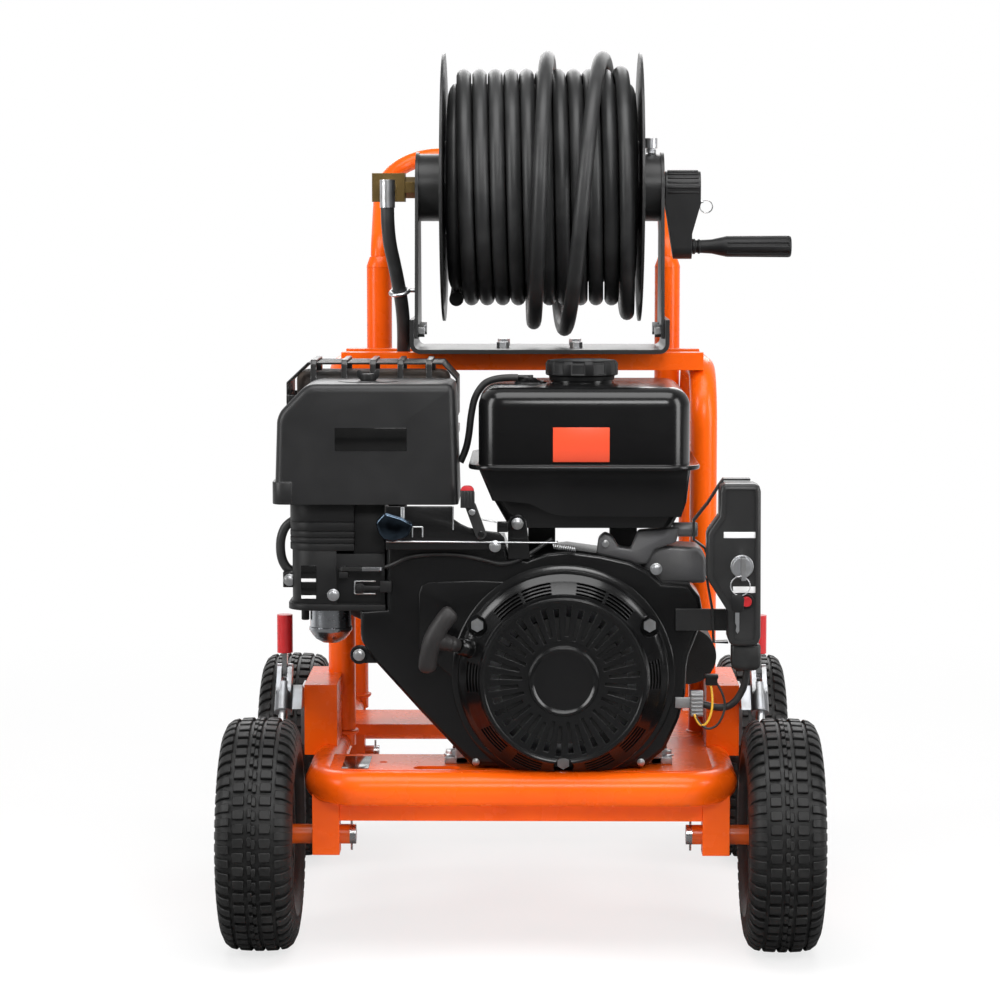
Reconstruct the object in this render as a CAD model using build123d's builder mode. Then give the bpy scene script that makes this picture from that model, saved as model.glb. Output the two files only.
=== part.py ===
"""Gas pressure washer: four-wheel cart, engine with pump, and hose reel. Millimetres, +Z up, front at -Y."""

import os
from itertools import product
from math import ceil, cos, hypot, pi, radians, sin, sqrt, tan

from build123d import *

os.makedirs("parts", exist_ok=True)

# Clearances
run_gap = 0.05
move_gap = 0.5
seat_gap = 0.1

# Wheels and axles
tyre_dia = 260
tyre_width = 84
tread_width = 62
bead_dia = 144
rim_width = 54
rim_wall = 5
rim_lip = 7
rim_disc = 8
hub_dia = 42
hub_length = 66
axle_dia = 16
spindle_dia = 22
track = 580
wheelbase = 500
front_axle_y = -270
washer_thick = 3
washer_dia = 34
hub_nut_width = 24
hub_nut_thick = 5
hairpin_dia = 2.5
hairpin_length = 36
spindle_tail = 13

# Base frame
base_dia = 38
tube_wall = 2
rail_x = 223
base_front_y = -300
base_rear_y = 280
base_z = 187
base_bend = 46
rear_bar_drop = 27
leg_width = 30
leg_wall = 2.5
leg_x = 217
leg_bottom = 109
deck_top = 204
deck_thick = 4
deck_rear_y = 128
deck_front_flange = 57
deck_rear_flange = 13
window_right_x = -80
window_front_y = -180
window_rear_y = 22
deck_hole_dia = 9
deck_hole_x = 155
deck_slot_x = -94
deck_slot_inset = 16
deck_slot_length = 52
deck_slot_width = 22

# Hoops, crossbars and handle
hoop_dia = 32
hoop_x = 215
hoop_front_y = -20
hoop_rear_y = 254
hoop_top_z = 634
hoop_bend = 65
crossbar_depth = 25
crossbar_height = 21
crossbar_rise = 22
front_crossbar_y = -10
rear_crossbar_y = 85
sleeve_bottom = 480
sleeve_top = 753
handle_dia = 22
handle_foot_z = 600
handle_knee_z = 775
handle_back_y = 389
handle_bar_z = 895
handle_knee_bend = 45
handle_bend = 75

# Box brackets and parking brakes
bracket_inner_x = 214
bracket_width = 38
bracket_front_y = -130
bracket_rear_y = 15
bracket_bottom = 194
bracket_top = 276
bracket_wall = 4
brake_x = 273
brake_angle = 52
foot_gap = 0.4
foot_dia = 26
foot_thick = 8
plunger_dia = 10
plunger_length = 46
plunger_travel = 12
barrel_dia = 20
barrel_start = 24
barrel_length = 36
clamp_plate = 4
pivot_from_barrel = 18
pivot_dia = 8
ear_width = 18
ear_thick = 5.4
lever_thick = 5.6
lever_width = 16
lever_reach = 34
brake_grip_dia = 18
brake_grip_start = 22
brake_grip_length = 44

# Hose reel
reel_y = 32
reel_rise = 195
reel_left_x = -95
reel_right_x = 141
flange_dia = 318
flange_thick = 3
drum_dia = 110
drum_wall = 3
shaft_dia = 25
housing_dia = 80
left_housing_length = 26.5
right_housing_length = 21.5
flange_room = 1.5
arm_thick = 4
arm_foot_width = 120
arm_head_radius = 42
arm_hole_dia = 30
plate_thick = 5
plate_front_y = -50
plate_rear_y = 115
plate_lip = 35
plate_corner = 12
hose_dia = 17.5
hose_turns = 11
hose_radius = 133
hose_side_room = 4
loose_layer = 21
loose_sag = 16
loose_shift = 84
loose_drift = 30
loose_quarters = 9
core_room = 0.5
end_fitting_dia = 22
end_fitting_length = 46
crank_hub_dia = 39
crank_hub_length = 42
crank_radius = 70
crank_arm_thick = 22
crank_tip_dia = 30
crank_pin_dia = 10
grip_dia = 26
grip_length = 118
lock_pin_dia = 8
lock_pin_travel = 6
lock_knob_dia = 15
lock_knob_height = 12
lock_depth = 7
lock_room = 1

# Swivel, jumper hose and reel bolts
swivel_width = 34
swivel_length = 39
swivel_nut_length = 12.5
swivel_nut_width = 22
elbow_dia = 18
elbow_reach = 23
elbow_drop = 24
jumper_dia = 16
clip_wire = 5
bolt_head = 13
bolt_head_thick = 7

# Engine
crank_x = 47
crank_z = 310
case_left_x = -62
case_right_x = 150
case_front_y = -185
case_rear_y = -45
case_top = 428
case_foot = 12
case_foot_reach = 16
case_cavity_dia = 150
case_front_wall = 12
case_cover = 20
case_corner = 30
web_dia = 120
web_thick = 60
journal_dia = 35
pto_dia = 25
pto_end_y = 35
flywheel_dia = 190
flywheel_bore = 24
flywheel_front_y = -262
flywheel_thick = 50
starter_cup_dia = 80
starter_cup_length = 22
cylinder_lean = 25
barrel_bore_core = 100
barrel_y = -112
fin_width = 118
fin_height = 122
fin_thick = 3
fin_pitch = 10
fin_count = 8
fin_start = 126
head_start = 206
head_length = 48
rocker_length = 36
rocker_width = 100
rocker_height = 92

# Fan shroud and recoil starter
shroud_front_y = -275
shroud_depth = 86
shroud_wall = 2.5
shroud_radius = 135
shroud_offsets = [
    (-196, 155),
    (-196, 72),
    (-232, 72),
    (-232, 40),
    (-101, -103),
    (91, -103),
    (120, -70),
    (135, 12),
    (157, 71),
    (154, 98),
    (102, 126),
    (0, 145),
]
shroud_mouth_dia = 190
recoil_dia = 248
recoil_rim_dia = 232
recoil_face_dia = 186
recoil_depth = 45
recoil_shoulder = 17
recoil_wall = 3
recoil_flange = 4
slot_count = 36
slot_inner_radius = 44
slot_outer_radius = 85
slot_width = 4
outer_slot_count = 24
outer_slot_radius = 102
outer_slot_length = 14
recoil_bolt_radius = 111
recoil_bolt_angles = (31, 149, 270)
pocket_dia = 24
recoil_post_dia = 14
recoil_post_length = 24
pulley_dia = 140
pulley_thick = 14
pulley_flange = 3.5
pulley_groove = 8
pulley_room = 3
rope_dia = 5
pull_heading = (-0.80, -0.52, 0.30)
rope_boss_offset = (-100, 31)
rope_boss_depth = 18
rope_boss_dia = 20
rope_boss_length = 18
rope_inside = 8
grip_gap = 1
starter_stem_length = 34
starter_stem_tip = 15
starter_stem_root = 22
starter_bar_length = 76
starter_bar_dia = 22
starter_tilt = 62

# Air cleaner, carburettor, muffler and tank
cleaner_left_x = -272
cleaner_right_x = -69
cleaner_front_y = -290
cleaner_rear_y = -154
cleaner_bottom = 501
cleaner_top = 634
cleaner_wall = 3
cleaner_corner = 14
cleaner_slope = 34
carb_left_x = -258
carb_right_x = -151
carb_front_y = -272
carb_rear_y = -180
carb_bottom = 384
carb_rim = 8
carb_corner = 14
bowl_x = -214
bowl_y = -228
bowl_dia = 46
bowl_depth = 28
bowl_boss_dia = 20
bowl_boss_depth = 12
intake_x = -165
intake_z = 408
intake_dia = 40
muffler_left_x = -259
muffler_right_x = -83
muffler_front_y = -140
muffler_rear_y = -60
muffler_bottom = 545
muffler_top = 640
muffler_corner = 20
exhaust_x = -150
exhaust_y = -84
exhaust_bottom = 450
exhaust_dia = 32
guard_margin = 10
guard_room = 4
guard_bottom = 556
guard_rib_count = 7
guard_rib_thick = 5
guard_rail = 6
tank_left_x = -47
tank_right_x = 186
tank_front_y = -295
tank_rear_y = -60
tank_bottom = 475
tank_seam_z = 540
tank_seam_thick = 5
tank_seam_reach = 11
tank_top = 630
tank_taper = 31
tank_draft = 13
tank_corner = 30
cap_x = 68
cap_y = -180
cap_dia = 82
cap_top = 656
neck_dia = 70
neck_height = 9
nipple_x = 10
nipple_y = -192
nipple_dia = 6
nipple_height = 6
nipple_reach = 14
breather_dia = 8

# Control box, starter motor, wiring and levers
box_left_x = 202
box_right_x = 265
box_front_y = -320
box_depth = 40
box_bottom = 349
box_top = 531
box_corner = 12
key_x = 241
key_z = 437
key_barrel_dia = 20
key_barrel_length = 9
key_barrel_depth = 5
key_bow_width = 24
key_bow_height = 26
key_bow_thick = 5
breaker_x = 246
breaker_z = 399
breaker_dia = 11
breaker_reach = 6
breaker_depth = 4
breaker_travel = 3
motor_x = 190
motor_z = 318
motor_dia = 64
motor_front_y = -183
motor_length = 103
rectifier_width = 14
rectifier_height = 28
rectifier_depth = 12
harness_dia = 8
throttle_x = -44
throttle_y = -298
throttle_z = 470
throttle_plate = 4
throttle_post_dia = 8
throttle_reach = 32
throttle_width = 12
throttle_knob_width = 14
throttle_knob_depth = 18
throttle_knob_height = 24
throttle_lean = 20
control_plate_thick = 3
control_plate_left_x = -120
control_plate_right_x = -34
control_plate_bottom = 452
control_plate_top = 490
choke_x = -196
choke_z = 429
choke_length = 38
choke_width = 10
choke_thick = 4
fuel_lever_x = -178
fuel_lever_z = 408
fuel_lever_length = 30
fuel_lever_width = 10
fuel_lever_thick = 6
lever_pin_dia = 6

# Pump
pump_left_x = -30
pump_right_x = 120
pump_half_height = 72
pump_front_y = -25
pump_length = 140
pump_head_length = 75
pump_head_inset = 12
pump_cap_dia = 26
pump_cap_length = 10
outlet_dia = 22
outlet_length = 30
outlet_z = 330

# Derived places
wheel_x = track / 2
rear_axle_y = front_axle_y + wheelbase
tyre_radius = tyre_dia / 2
axle_z = tyre_radius
wheels = {
    "front_left": (-1, front_axle_y),
    "front_right": (1, front_axle_y),
    "rear_left": (-1, rear_axle_y),
    "rear_right": (1, rear_axle_y),
}
sides = {"left": -1, "right": 1}
sleeve_x = hoop_x - hoop_dia
case_bottom = deck_top
crossbar_top = hoop_top_z + crossbar_rise
crossbar_bottom = crossbar_top - crossbar_height
reel_z = crossbar_top + reel_rise
bracket_outer_x = bracket_inner_x + bracket_width


def save(piece, name):
    """Label a finished piece and write it to its own file."""
    piece.part.label = name
    export_step(piece.part, f"parts/{name}.step")


def front_plane(y):
    """Upright plane that faces the front, with X across and Z up."""
    return Plane(origin=(0, y, 0), x_dir=(1, 0, 0), z_dir=(0, -1, 0))


def side_plane(x):
    """Upright plane that faces right, with Y across and Z up."""
    return Plane(origin=(x, 0, 0), x_dir=(0, 1, 0), z_dir=(1, 0, 0))


def block(low, high, mode=Mode.ADD):
    """Add a box between two corners to the part being built."""
    size = Vector(*high) - Vector(*low)
    with Locations(Vector(*low) + size / 2):
        Box(abs(size.X), abs(size.Y), abs(size.Z), mode=mode)


def rod(start, end, dia, mode=Mode.ADD):
    """Add a round rod from one point to another to the part being built."""
    axis = Vector(*end) - Vector(*start)
    with BuildSketch(Plane(origin=start, z_dir=axis)) as disc:
        Circle(dia / 2)
    extrude(disc.sketch, amount=axis.length, mode=mode)


def hex_head(start, end, width):
    """Add a six-sided bolt head or nut from one point to another."""
    axis = Vector(*end) - Vector(*start)
    with BuildSketch(Plane(origin=start, z_dir=axis)) as outline:
        RegularPolygon(width / 2, 6, major_radius=False)
    extrude(outline.sketch, amount=axis.length)


def tube(points, bends, dia, wall=0):
    """Sweep a round tube, or a bar where it has no wall, along straight runs joined by bends."""
    with BuildLine() as route:
        FilletPolyline(*points, radius=bends)
    with BuildSketch(Plane(origin=points[0], z_dir=Vector(*points[1]) - Vector(*points[0]))) as ring:
        Circle(dia / 2)
        if wall:
            Circle(dia / 2 - wall, mode=Mode.SUBTRACT)
    sweep(sections=ring.sketch, path=route.line)


def hose_bends(name, points, dia):
    """Work out the largest bend that each corner of a hose's route allows, and print them."""
    radii = []
    for before, corner, after in zip(points, points[1:], points[2:]):
        first = Vector(*corner) - Vector(*before)
        second = Vector(*after) - Vector(*corner)
        half_turn = radians(first.get_angle(second)) / 2
        radii.append(0.45 * min(first.length, second.length) / tan(half_turn))
    print(name, "diameter", dia, "bend radii", [round(radius, 1) for radius in radii])
    return radii


def section_point(side, across, radius):
    """Point of a tyre's section, from the wheel's middle plane and its axle."""
    return (side * wheel_x + across, axle_z + radius)


# Wheels: a rim on the stub axle and a block-tread tyre on the rim
for place, (side, axle_y) in wheels.items():
    spin_axis = Axis((0, axle_y, axle_z), (1, 0, 0))
    bead_half = rim_width / 2 - seat_gap
    bead_radius = bead_dia / 2
    bead_top = bead_radius + rim_lip + 2
    shoulder_radius = tyre_radius - 7
    shoulder_half = tread_width / 2 + 6
    with BuildPart() as tyre:
        with BuildSketch(front_plane(axle_y)):
            with BuildLine():
                Polyline(
                    section_point(side, -bead_half, bead_top),
                    section_point(side, -bead_half, bead_radius),
                    section_point(side, bead_half, bead_radius),
                    section_point(side, bead_half, bead_top),
                )
                for edge in (1, -1):
                    ThreePointArc(
                        section_point(side, edge * bead_half, bead_top),
                        section_point(side, edge * tyre_width / 2, (bead_top + shoulder_radius) / 2),
                        section_point(side, edge * shoulder_half, shoulder_radius),
                    )
                Polyline(
                    section_point(side, shoulder_half, shoulder_radius),
                    section_point(side, tread_width / 2, tyre_radius),
                    section_point(side, -tread_width / 2, tyre_radius),
                    section_point(side, -shoulder_half, shoulder_radius),
                )
            make_face()
        revolve(axis=spin_axis)
    save(tyre, f"tyre_{place}")

    with BuildPart() as rim:
        with BuildSketch(front_plane(axle_y)):
            with Locations((side * wheel_x, axle_z + bead_radius - rim_wall / 2)):
                Rectangle(rim_width, rim_wall)
            for edge in (1, -1):
                with Locations((side * wheel_x + edge * (rim_width + rim_wall) / 2, axle_z + bead_radius)):
                    Rectangle(rim_wall, 2 * rim_lip)
            with Locations((side * wheel_x, axle_z)):
                Rectangle(rim_disc, bead_dia - rim_wall, align=(Align.CENTER, Align.CENTER))
                Rectangle(hub_length, hub_dia, align=(Align.CENTER, Align.CENTER))
            with Locations((side * wheel_x, axle_z)):
                Rectangle(track, axle_dia + 2 * run_gap, mode=Mode.SUBTRACT)
            with Locations((side * wheel_x, axle_z)):
                Rectangle(track, tyre_dia, align=(Align.CENTER, Align.MAX), mode=Mode.SUBTRACT)
        revolve(axis=spin_axis)
    save(rim, f"rim_{place}")

# Base tube: bent front bar and side rails, with a straight rear bar under the rails
base_route = [
    (-rail_x, base_rear_y + base_dia / 2, base_z),
    (-rail_x, base_front_y, base_z),
    (rail_x, base_front_y, base_z),
    (rail_x, base_rear_y + base_dia / 2, base_z),
]
rear_bar_z = base_z - rear_bar_drop
rear_bar_ends = [(-rail_x, base_rear_y, rear_bar_z), (rail_x, base_rear_y, rear_bar_z)]
with BuildPart() as base_envelope:
    tube(base_route, base_bend, base_dia)
    rod(*rear_bar_ends, base_dia)
with BuildPart() as base_tube:
    add(base_envelope.part)
    tube_core = base_dia - 2 * tube_wall
    with BuildLine() as base_line:
        FilletPolyline(*base_route, radius=base_bend)
    with BuildSketch(Plane(origin=base_route[0], z_dir=(0, -1, 0))) as base_bore:
        Circle(tube_core / 2)
    sweep(sections=base_bore.sketch, path=base_line.line, mode=Mode.SUBTRACT)
    rod(*rear_bar_ends, tube_core, mode=Mode.SUBTRACT)
save(base_tube, "base_tube")

# Hoops, each with the sleeve that takes the handle
hoop_routes = {
    name: [
        (side * hoop_x, hoop_front_y, base_z),
        (side * hoop_x, hoop_front_y, hoop_top_z),
        (side * hoop_x, hoop_rear_y, hoop_top_z),
        (side * hoop_x, hoop_rear_y, base_z),
    ]
    for name, side in sides.items()
}
with BuildPart() as hoop_envelope:
    for route in hoop_routes.values():
        tube(route, hoop_bend, hoop_dia)
for name, side in sides.items():
    with BuildPart() as hoop:
        tube(hoop_routes[name], hoop_bend, hoop_dia, tube_wall)
        add(base_envelope.part, mode=Mode.SUBTRACT)
        sleeve_ends = [(side * sleeve_x, hoop_rear_y, z) for z in (sleeve_bottom, sleeve_top)]
        rod(*sleeve_ends, hoop_dia)
        rod(*sleeve_ends, handle_dia + 2 * seat_gap, mode=Mode.SUBTRACT)
    save(hoop, f"{name}_hoop")

# Crossbars between the hoops
with BuildPart() as hoop_crossbars:
    for bar_y in (front_crossbar_y, rear_crossbar_y):
        block((-hoop_x, bar_y, crossbar_bottom), (hoop_x, bar_y + crossbar_depth, crossbar_top))
    add(hoop_envelope.part, mode=Mode.SUBTRACT)
save(hoop_crossbars, "hoop_crossbars")

# Push handle
handle_route = [
    (-sleeve_x, hoop_rear_y, handle_foot_z),
    (-sleeve_x, hoop_rear_y, handle_knee_z),
    (-sleeve_x, handle_back_y, handle_bar_z),
    (sleeve_x, handle_back_y, handle_bar_z),
    (sleeve_x, hoop_rear_y, handle_knee_z),
    (sleeve_x, hoop_rear_y, handle_foot_z),
]
with BuildPart() as handle_bar:
    handle_bends = [handle_knee_bend, handle_bend, handle_bend, handle_knee_bend]
    tube(handle_route, handle_bends, handle_dia, tube_wall)
save(handle_bar, "handle_bar")

# Engine deck: sheet with a window on the left and turned-down flanges
with BuildPart() as engine_deck:
    deck_front_y = base_front_y + base_dia / 2
    deck_edge_x = rail_x - base_dia / 4
    block((-deck_edge_x, deck_front_y, deck_top - deck_thick), (deck_edge_x, deck_rear_y, deck_top))
    block(
        (-rail_x, window_front_y, deck_top - deck_thick),
        (window_right_x, window_rear_y, deck_top),
        mode=Mode.SUBTRACT,
    )
    block(
        (-leg_x + leg_width / 2, deck_front_y, deck_top - deck_front_flange),
        (leg_x - leg_width / 2, deck_front_y + deck_thick, deck_top),
    )
    block(
        (-leg_x, window_rear_y, deck_top - deck_rear_flange),
        (window_right_x, window_rear_y + deck_thick, deck_top),
    )
    add(base_envelope.part, mode=Mode.SUBTRACT)
    add(hoop_envelope.part, mode=Mode.SUBTRACT)
    for side in sides.values():
        with Locations((side * deck_hole_x, (deck_front_y + window_front_y) / 2, deck_top)):
            Hole(deck_hole_dia / 2, depth=deck_thick)
    with BuildSketch(Plane.XY.offset(deck_top)):
        with Locations((deck_slot_x, deck_front_y + deck_slot_inset)):
            SlotOverall(deck_slot_length, deck_slot_width)
    extrude(amount=-deck_thick, mode=Mode.SUBTRACT)
save(engine_deck, "engine_deck")

# Frame posts: four axle legs and two box brackets, welded to the rails
with BuildPart() as frame_posts:
    inner_width = leg_width - 2 * leg_wall
    for side, axle_y in wheels.values():
        with BuildSketch(Plane.XY.offset(leg_bottom)):
            with Locations((side * leg_x, axle_y)):
                Rectangle(leg_width, leg_width)
                Rectangle(inner_width, inner_width, mode=Mode.SUBTRACT)
        extrude(amount=base_z - leg_bottom)
    for side in sides.values():
        outer = side * bracket_outer_x
        inner = side * bracket_inner_x
        block((inner, bracket_front_y, bracket_bottom), (outer, bracket_rear_y, bracket_top))
        block(
            (inner + side * bracket_wall, bracket_front_y + bracket_wall, bracket_bottom),
            (outer - side * bracket_wall, bracket_rear_y - bracket_wall, bracket_top - bracket_wall),
            mode=Mode.SUBTRACT,
        )
    for side, axle_y in wheels.values():
        rod((0, axle_y, axle_z), (side * wheel_x, axle_y, axle_z), spindle_dia, mode=Mode.SUBTRACT)
    add(base_envelope.part, mode=Mode.SUBTRACT)
    add(hoop_envelope.part, mode=Mode.SUBTRACT)
save(frame_posts, "frame_posts")

# Axle hardware: stub axles, washers, hairpins and hub nuts
with BuildPart() as axle_hardware:
    leg_inner = leg_x - leg_width / 2
    hub_inner = wheel_x - hub_length / 2
    hub_outer = wheel_x + hub_length / 2
    pin_x = leg_inner - spindle_tail
    spindle_end = pin_x - 2 * hairpin_dia
    axle_end = hub_outer + move_gap + washer_thick + hub_nut_thick
    for side, axle_y in wheels.values():
        shoulder = (side * (hub_inner - move_gap), axle_y, axle_z)
        rod((side * spindle_end, axle_y, axle_z), shoulder, spindle_dia)
        rod(shoulder, (side * axle_end, axle_y, axle_z), axle_dia)
        rod(
            (side * pin_x, axle_y, axle_z - hairpin_length),
            (side * pin_x, axle_y, axle_z + hairpin_length),
            hairpin_dia + 2 * seat_gap,
            mode=Mode.SUBTRACT,
        )
    for side, axle_y in wheels.values():
        hairpin_foot = (side * pin_x, axle_y, axle_z - hairpin_length / 2)
        rod(hairpin_foot, (side * pin_x, axle_y, axle_z + hairpin_length / 2), hairpin_dia)
with BuildPart() as axle_washers:
    for side, axle_y in wheels.values():
        washer_start = hub_outer + move_gap
        nut_start = washer_start + washer_thick
        rod((side * washer_start, axle_y, axle_z), (side * nut_start, axle_y, axle_z), washer_dia)
        hex_head((side * nut_start, axle_y, axle_z), (side * axle_end, axle_y, axle_z), hub_nut_width)
    for side, axle_y in wheels.values():
        rod((0, axle_y, axle_z), (side * wheel_x, axle_y, axle_z), spindle_dia, Mode.SUBTRACT)
        rod((side * wheel_x, axle_y, axle_z), (side * track, axle_y, axle_z), axle_dia, Mode.SUBTRACT)
with BuildPart() as axle_set:
    add(axle_hardware.part.solids() + axle_washers.part.solids(), mode=Mode.ADD)
save(axle_set, "axle_hardware")

# Parking brakes: a clamp base on each box bracket, a plunger that meets the tyre, and a lever
brake_up = Vector(0, cos(radians(brake_angle)), sin(radians(brake_angle)))


def brake_point(side, reach, x=brake_x):
    """Point on a brake's plunger line, measured outwards from the tyre's tread."""
    return Vector(side * x, front_axle_y, axle_z) + brake_up * (tyre_radius + reach)


barrel_end = barrel_start + barrel_length
pivot_reach = barrel_end + pivot_from_barrel
foot_end = foot_gap + foot_thick
ear_offset = lever_thick / 2 + move_gap
with BuildPart() as brake_clamp_bases:
    for side in sides.values():
        with BuildSketch(side_plane(side * bracket_outer_x)):
            lug_low = brake_point(side, barrel_start + clamp_plate)
            lug_high = brake_point(side, barrel_end)
            with BuildLine():
                Polyline(
                    (lug_low.Y, lug_low.Z),
                    (lug_high.Y, lug_high.Z),
                    (bracket_front_y, bracket_top - clamp_plate),
                    (bracket_front_y, bracket_top - barrel_dia - clamp_plate),
                    close=True,
                )
            make_face()
        extrude(amount=side * (brake_x - bracket_outer_x))
        block(
            (side * bracket_outer_x, bracket_front_y, bracket_bottom + 3 * clamp_plate),
            (
                side * (bracket_outer_x + clamp_plate),
                bracket_front_y + 15 * clamp_plate,
                bracket_top - clamp_plate,
            ),
        )
        rod(brake_point(side, barrel_start), brake_point(side, barrel_end), barrel_dia)
        for ear in (-1, 1):
            ear_x = brake_x + ear * (ear_offset + ear_thick / 2)
            ear_middle = brake_point(side, (barrel_end + pivot_reach) / 2 - clamp_plate, ear_x)
            ear_length = pivot_from_barrel + 2 * clamp_plate
            with BuildSketch(Plane(origin=ear_middle, x_dir=brake_up, z_dir=(1, 0, 0))):
                SlotCenterToCenter(ear_length, ear_width)
            extrude(amount=ear_thick / 2, both=True)
        pin_half = ear_offset + ear_thick
        rod(
            brake_point(side, pivot_reach, brake_x - pin_half),
            brake_point(side, pivot_reach, brake_x + pin_half),
            pivot_dia,
        )
        rod(
            brake_point(side, 0),
            brake_point(side, barrel_end + plunger_travel),
            plunger_dia + 2 * run_gap,
            mode=Mode.SUBTRACT,
        )
save(brake_clamp_bases, "brake_clamp_bases")

for name, side in sides.items():
    with BuildPart() as brake_plunger:
        rod(brake_point(side, foot_gap), brake_point(side, foot_end), foot_dia)
        rod(brake_point(side, foot_end), brake_point(side, foot_end + plunger_length), plunger_dia)
    save(brake_plunger, f"brake_plunger_{name}")

    pivot = brake_point(side, pivot_reach)
    with BuildPart() as brake_lever:
        with BuildSketch(side_plane(side * brake_x)):
            with Locations((pivot.Y, pivot.Z + lever_reach / 2)):
                SlotCenterToCenter(lever_reach, lever_width, rotation=90)
        extrude(amount=lever_thick / 2, both=True)
        rod(
            pivot - Vector(brake_x, 0, 0),
            pivot + Vector(brake_x, 0, 0),
            pivot_dia + 2 * run_gap,
            mode=Mode.SUBTRACT,
        )
        grip_foot = pivot + Vector(0, 0, brake_grip_start)
        rod(grip_foot, grip_foot + Vector(0, 0, brake_grip_length), brake_grip_dia)
    save(brake_lever, f"brake_lever_{name}")

# Hose reel: base plate with turned-up ends
left_arm_x = reel_left_x - flange_room - left_housing_length
right_arm_x = reel_right_x + flange_room + right_housing_length
plate_left_x = left_arm_x - arm_thick
plate_right_x = right_arm_x + arm_thick
plate_top = crossbar_top + plate_thick
lip_top = plate_top + plate_lip
with BuildPart() as reel_base_plate:
    with BuildSketch(front_plane(plate_front_y)):
        for inset, mode in ((0, Mode.ADD), (plate_thick, Mode.SUBTRACT)):
            low_left = plate_left_x - plate_thick + inset
            low_right = plate_right_x + plate_thick - inset
            floor = crossbar_top + inset
            corner = plate_corner - inset
            with BuildLine():
                FilletPolyline(
                    (low_left, lip_top),
                    (low_left, floor),
                    (low_right, floor),
                    (low_right, lip_top),
                    radius=corner,
                )
                Line((low_right, lip_top), (low_left, lip_top))
            make_face(mode=mode)
    extrude(amount=plate_front_y - plate_rear_y)
save(reel_base_plate, "reel_base_plate")

# Side arms with the bearing housings that carry the reel's shaft
lock_x = reel_right_x + flange_room + right_housing_length / 2
housing_top = reel_z + housing_dia / 2
with BuildPart() as reel_arms:
    arm_foot_z = plate_top + plate_corner
    arm_places = (
        (left_arm_x, -arm_thick, left_housing_length),
        (right_arm_x, arm_thick, -right_housing_length),
    )
    for inner_x, arm_step, housing_step in arm_places:
        with BuildSketch(side_plane(inner_x)):
            with BuildLine():
                Polyline(
                    (reel_y - arm_foot_width / 2, arm_foot_z),
                    (reel_y + arm_foot_width / 2, arm_foot_z),
                    (reel_y + arm_head_radius, reel_z),
                    (reel_y - arm_head_radius, reel_z),
                    close=True,
                )
            make_face()
            with Locations((reel_y, reel_z)):
                Circle(arm_head_radius)
                Circle(arm_hole_dia / 2, mode=Mode.SUBTRACT)
        extrude(amount=arm_step)
        rod((inner_x, reel_y, reel_z), (inner_x + housing_step, reel_y, reel_z), housing_dia)
    rod(
        (plate_left_x, reel_y, reel_z),
        (plate_right_x, reel_y, reel_z),
        shaft_dia + 2 * run_gap,
        mode=Mode.SUBTRACT,
    )
    rod(
        (lock_x, reel_y, reel_z),
        (lock_x, reel_y, housing_top),
        lock_pin_dia + 2 * run_gap,
        mode=Mode.SUBTRACT,
    )
save(reel_arms, "reel_arms")

# Reel drum: flanges and core on a through shaft
crank_hub_x = plate_right_x + 4 * move_gap
crank_end_x = crank_hub_x + crank_hub_length
shaft_right_x = crank_end_x - plate_thick
flange_left_x = reel_left_x + flange_thick
flange_right_x = reel_right_x - flange_thick
with BuildPart() as reel_drum:
    drum_ends = [(flange_left_x, reel_y, reel_z), (flange_right_x, reel_y, reel_z)]
    rod(*drum_ends, drum_dia)
    rod(*drum_ends, drum_dia - 2 * drum_wall, mode=Mode.SUBTRACT)
    rod((reel_left_x, reel_y, reel_z), (flange_left_x, reel_y, reel_z), flange_dia)
    rod((flange_right_x, reel_y, reel_z), (reel_right_x, reel_y, reel_z), flange_dia)
    rod((plate_left_x, reel_y, reel_z), (shaft_right_x, reel_y, reel_z), shaft_dia)
    shaft_top = reel_z + shaft_dia / 2
    detent_floor = shaft_dia / 2 - lock_depth
    for across, rise in ((0, 1), (1, 0), (0, -1), (-1, 0)):
        rod(
            (lock_x, reel_y + across * detent_floor, reel_z + rise * detent_floor),
            (lock_x, reel_y + across * shaft_dia, reel_z + rise * shaft_dia),
            lock_pin_dia + 2 * move_gap,
            mode=Mode.SUBTRACT,
        )
save(reel_drum, "reel_drum")

with BuildPart() as reel_lock_pin:
    knob_z = housing_top + lock_pin_travel + move_gap
    rod((lock_x, reel_y, shaft_top + lock_room), (lock_x, reel_y, knob_z), lock_pin_dia)
    rod((lock_x, reel_y, knob_z), (lock_x, reel_y, knob_z + lock_knob_height), lock_knob_dia)
save(reel_lock_pin, "reel_lock_pin")

# Wound hose: inner layers as a plain core, the outer layer and the loose last turns as one tube
core_dia = 2 * (hose_radius - hose_dia / 2 - core_room)
with BuildPart() as hose_core:
    rod(*drum_ends, core_dia)
    rod(*drum_ends, drum_dia, mode=Mode.SUBTRACT)
save(hose_core, "hose_core")

hose_first_x = flange_left_x + hose_side_room + hose_dia / 2
hose_last_x = flange_right_x - hose_side_room - hose_dia / 2
hose_pitch = (hose_last_x - hose_first_x) / hose_turns
wound_angle = 2 * pi * hose_turns


def ease(share):
    """Smooth step from 0 to 1."""
    share = min(max(share, 0), 1)
    return share * share * (3 - 2 * share)


def bulge(share):
    """Smooth bump of height 1 around 0, flat from 1 on."""
    return cos(pi * share / 2) ** 2 if abs(share) < 1 else 0


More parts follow.
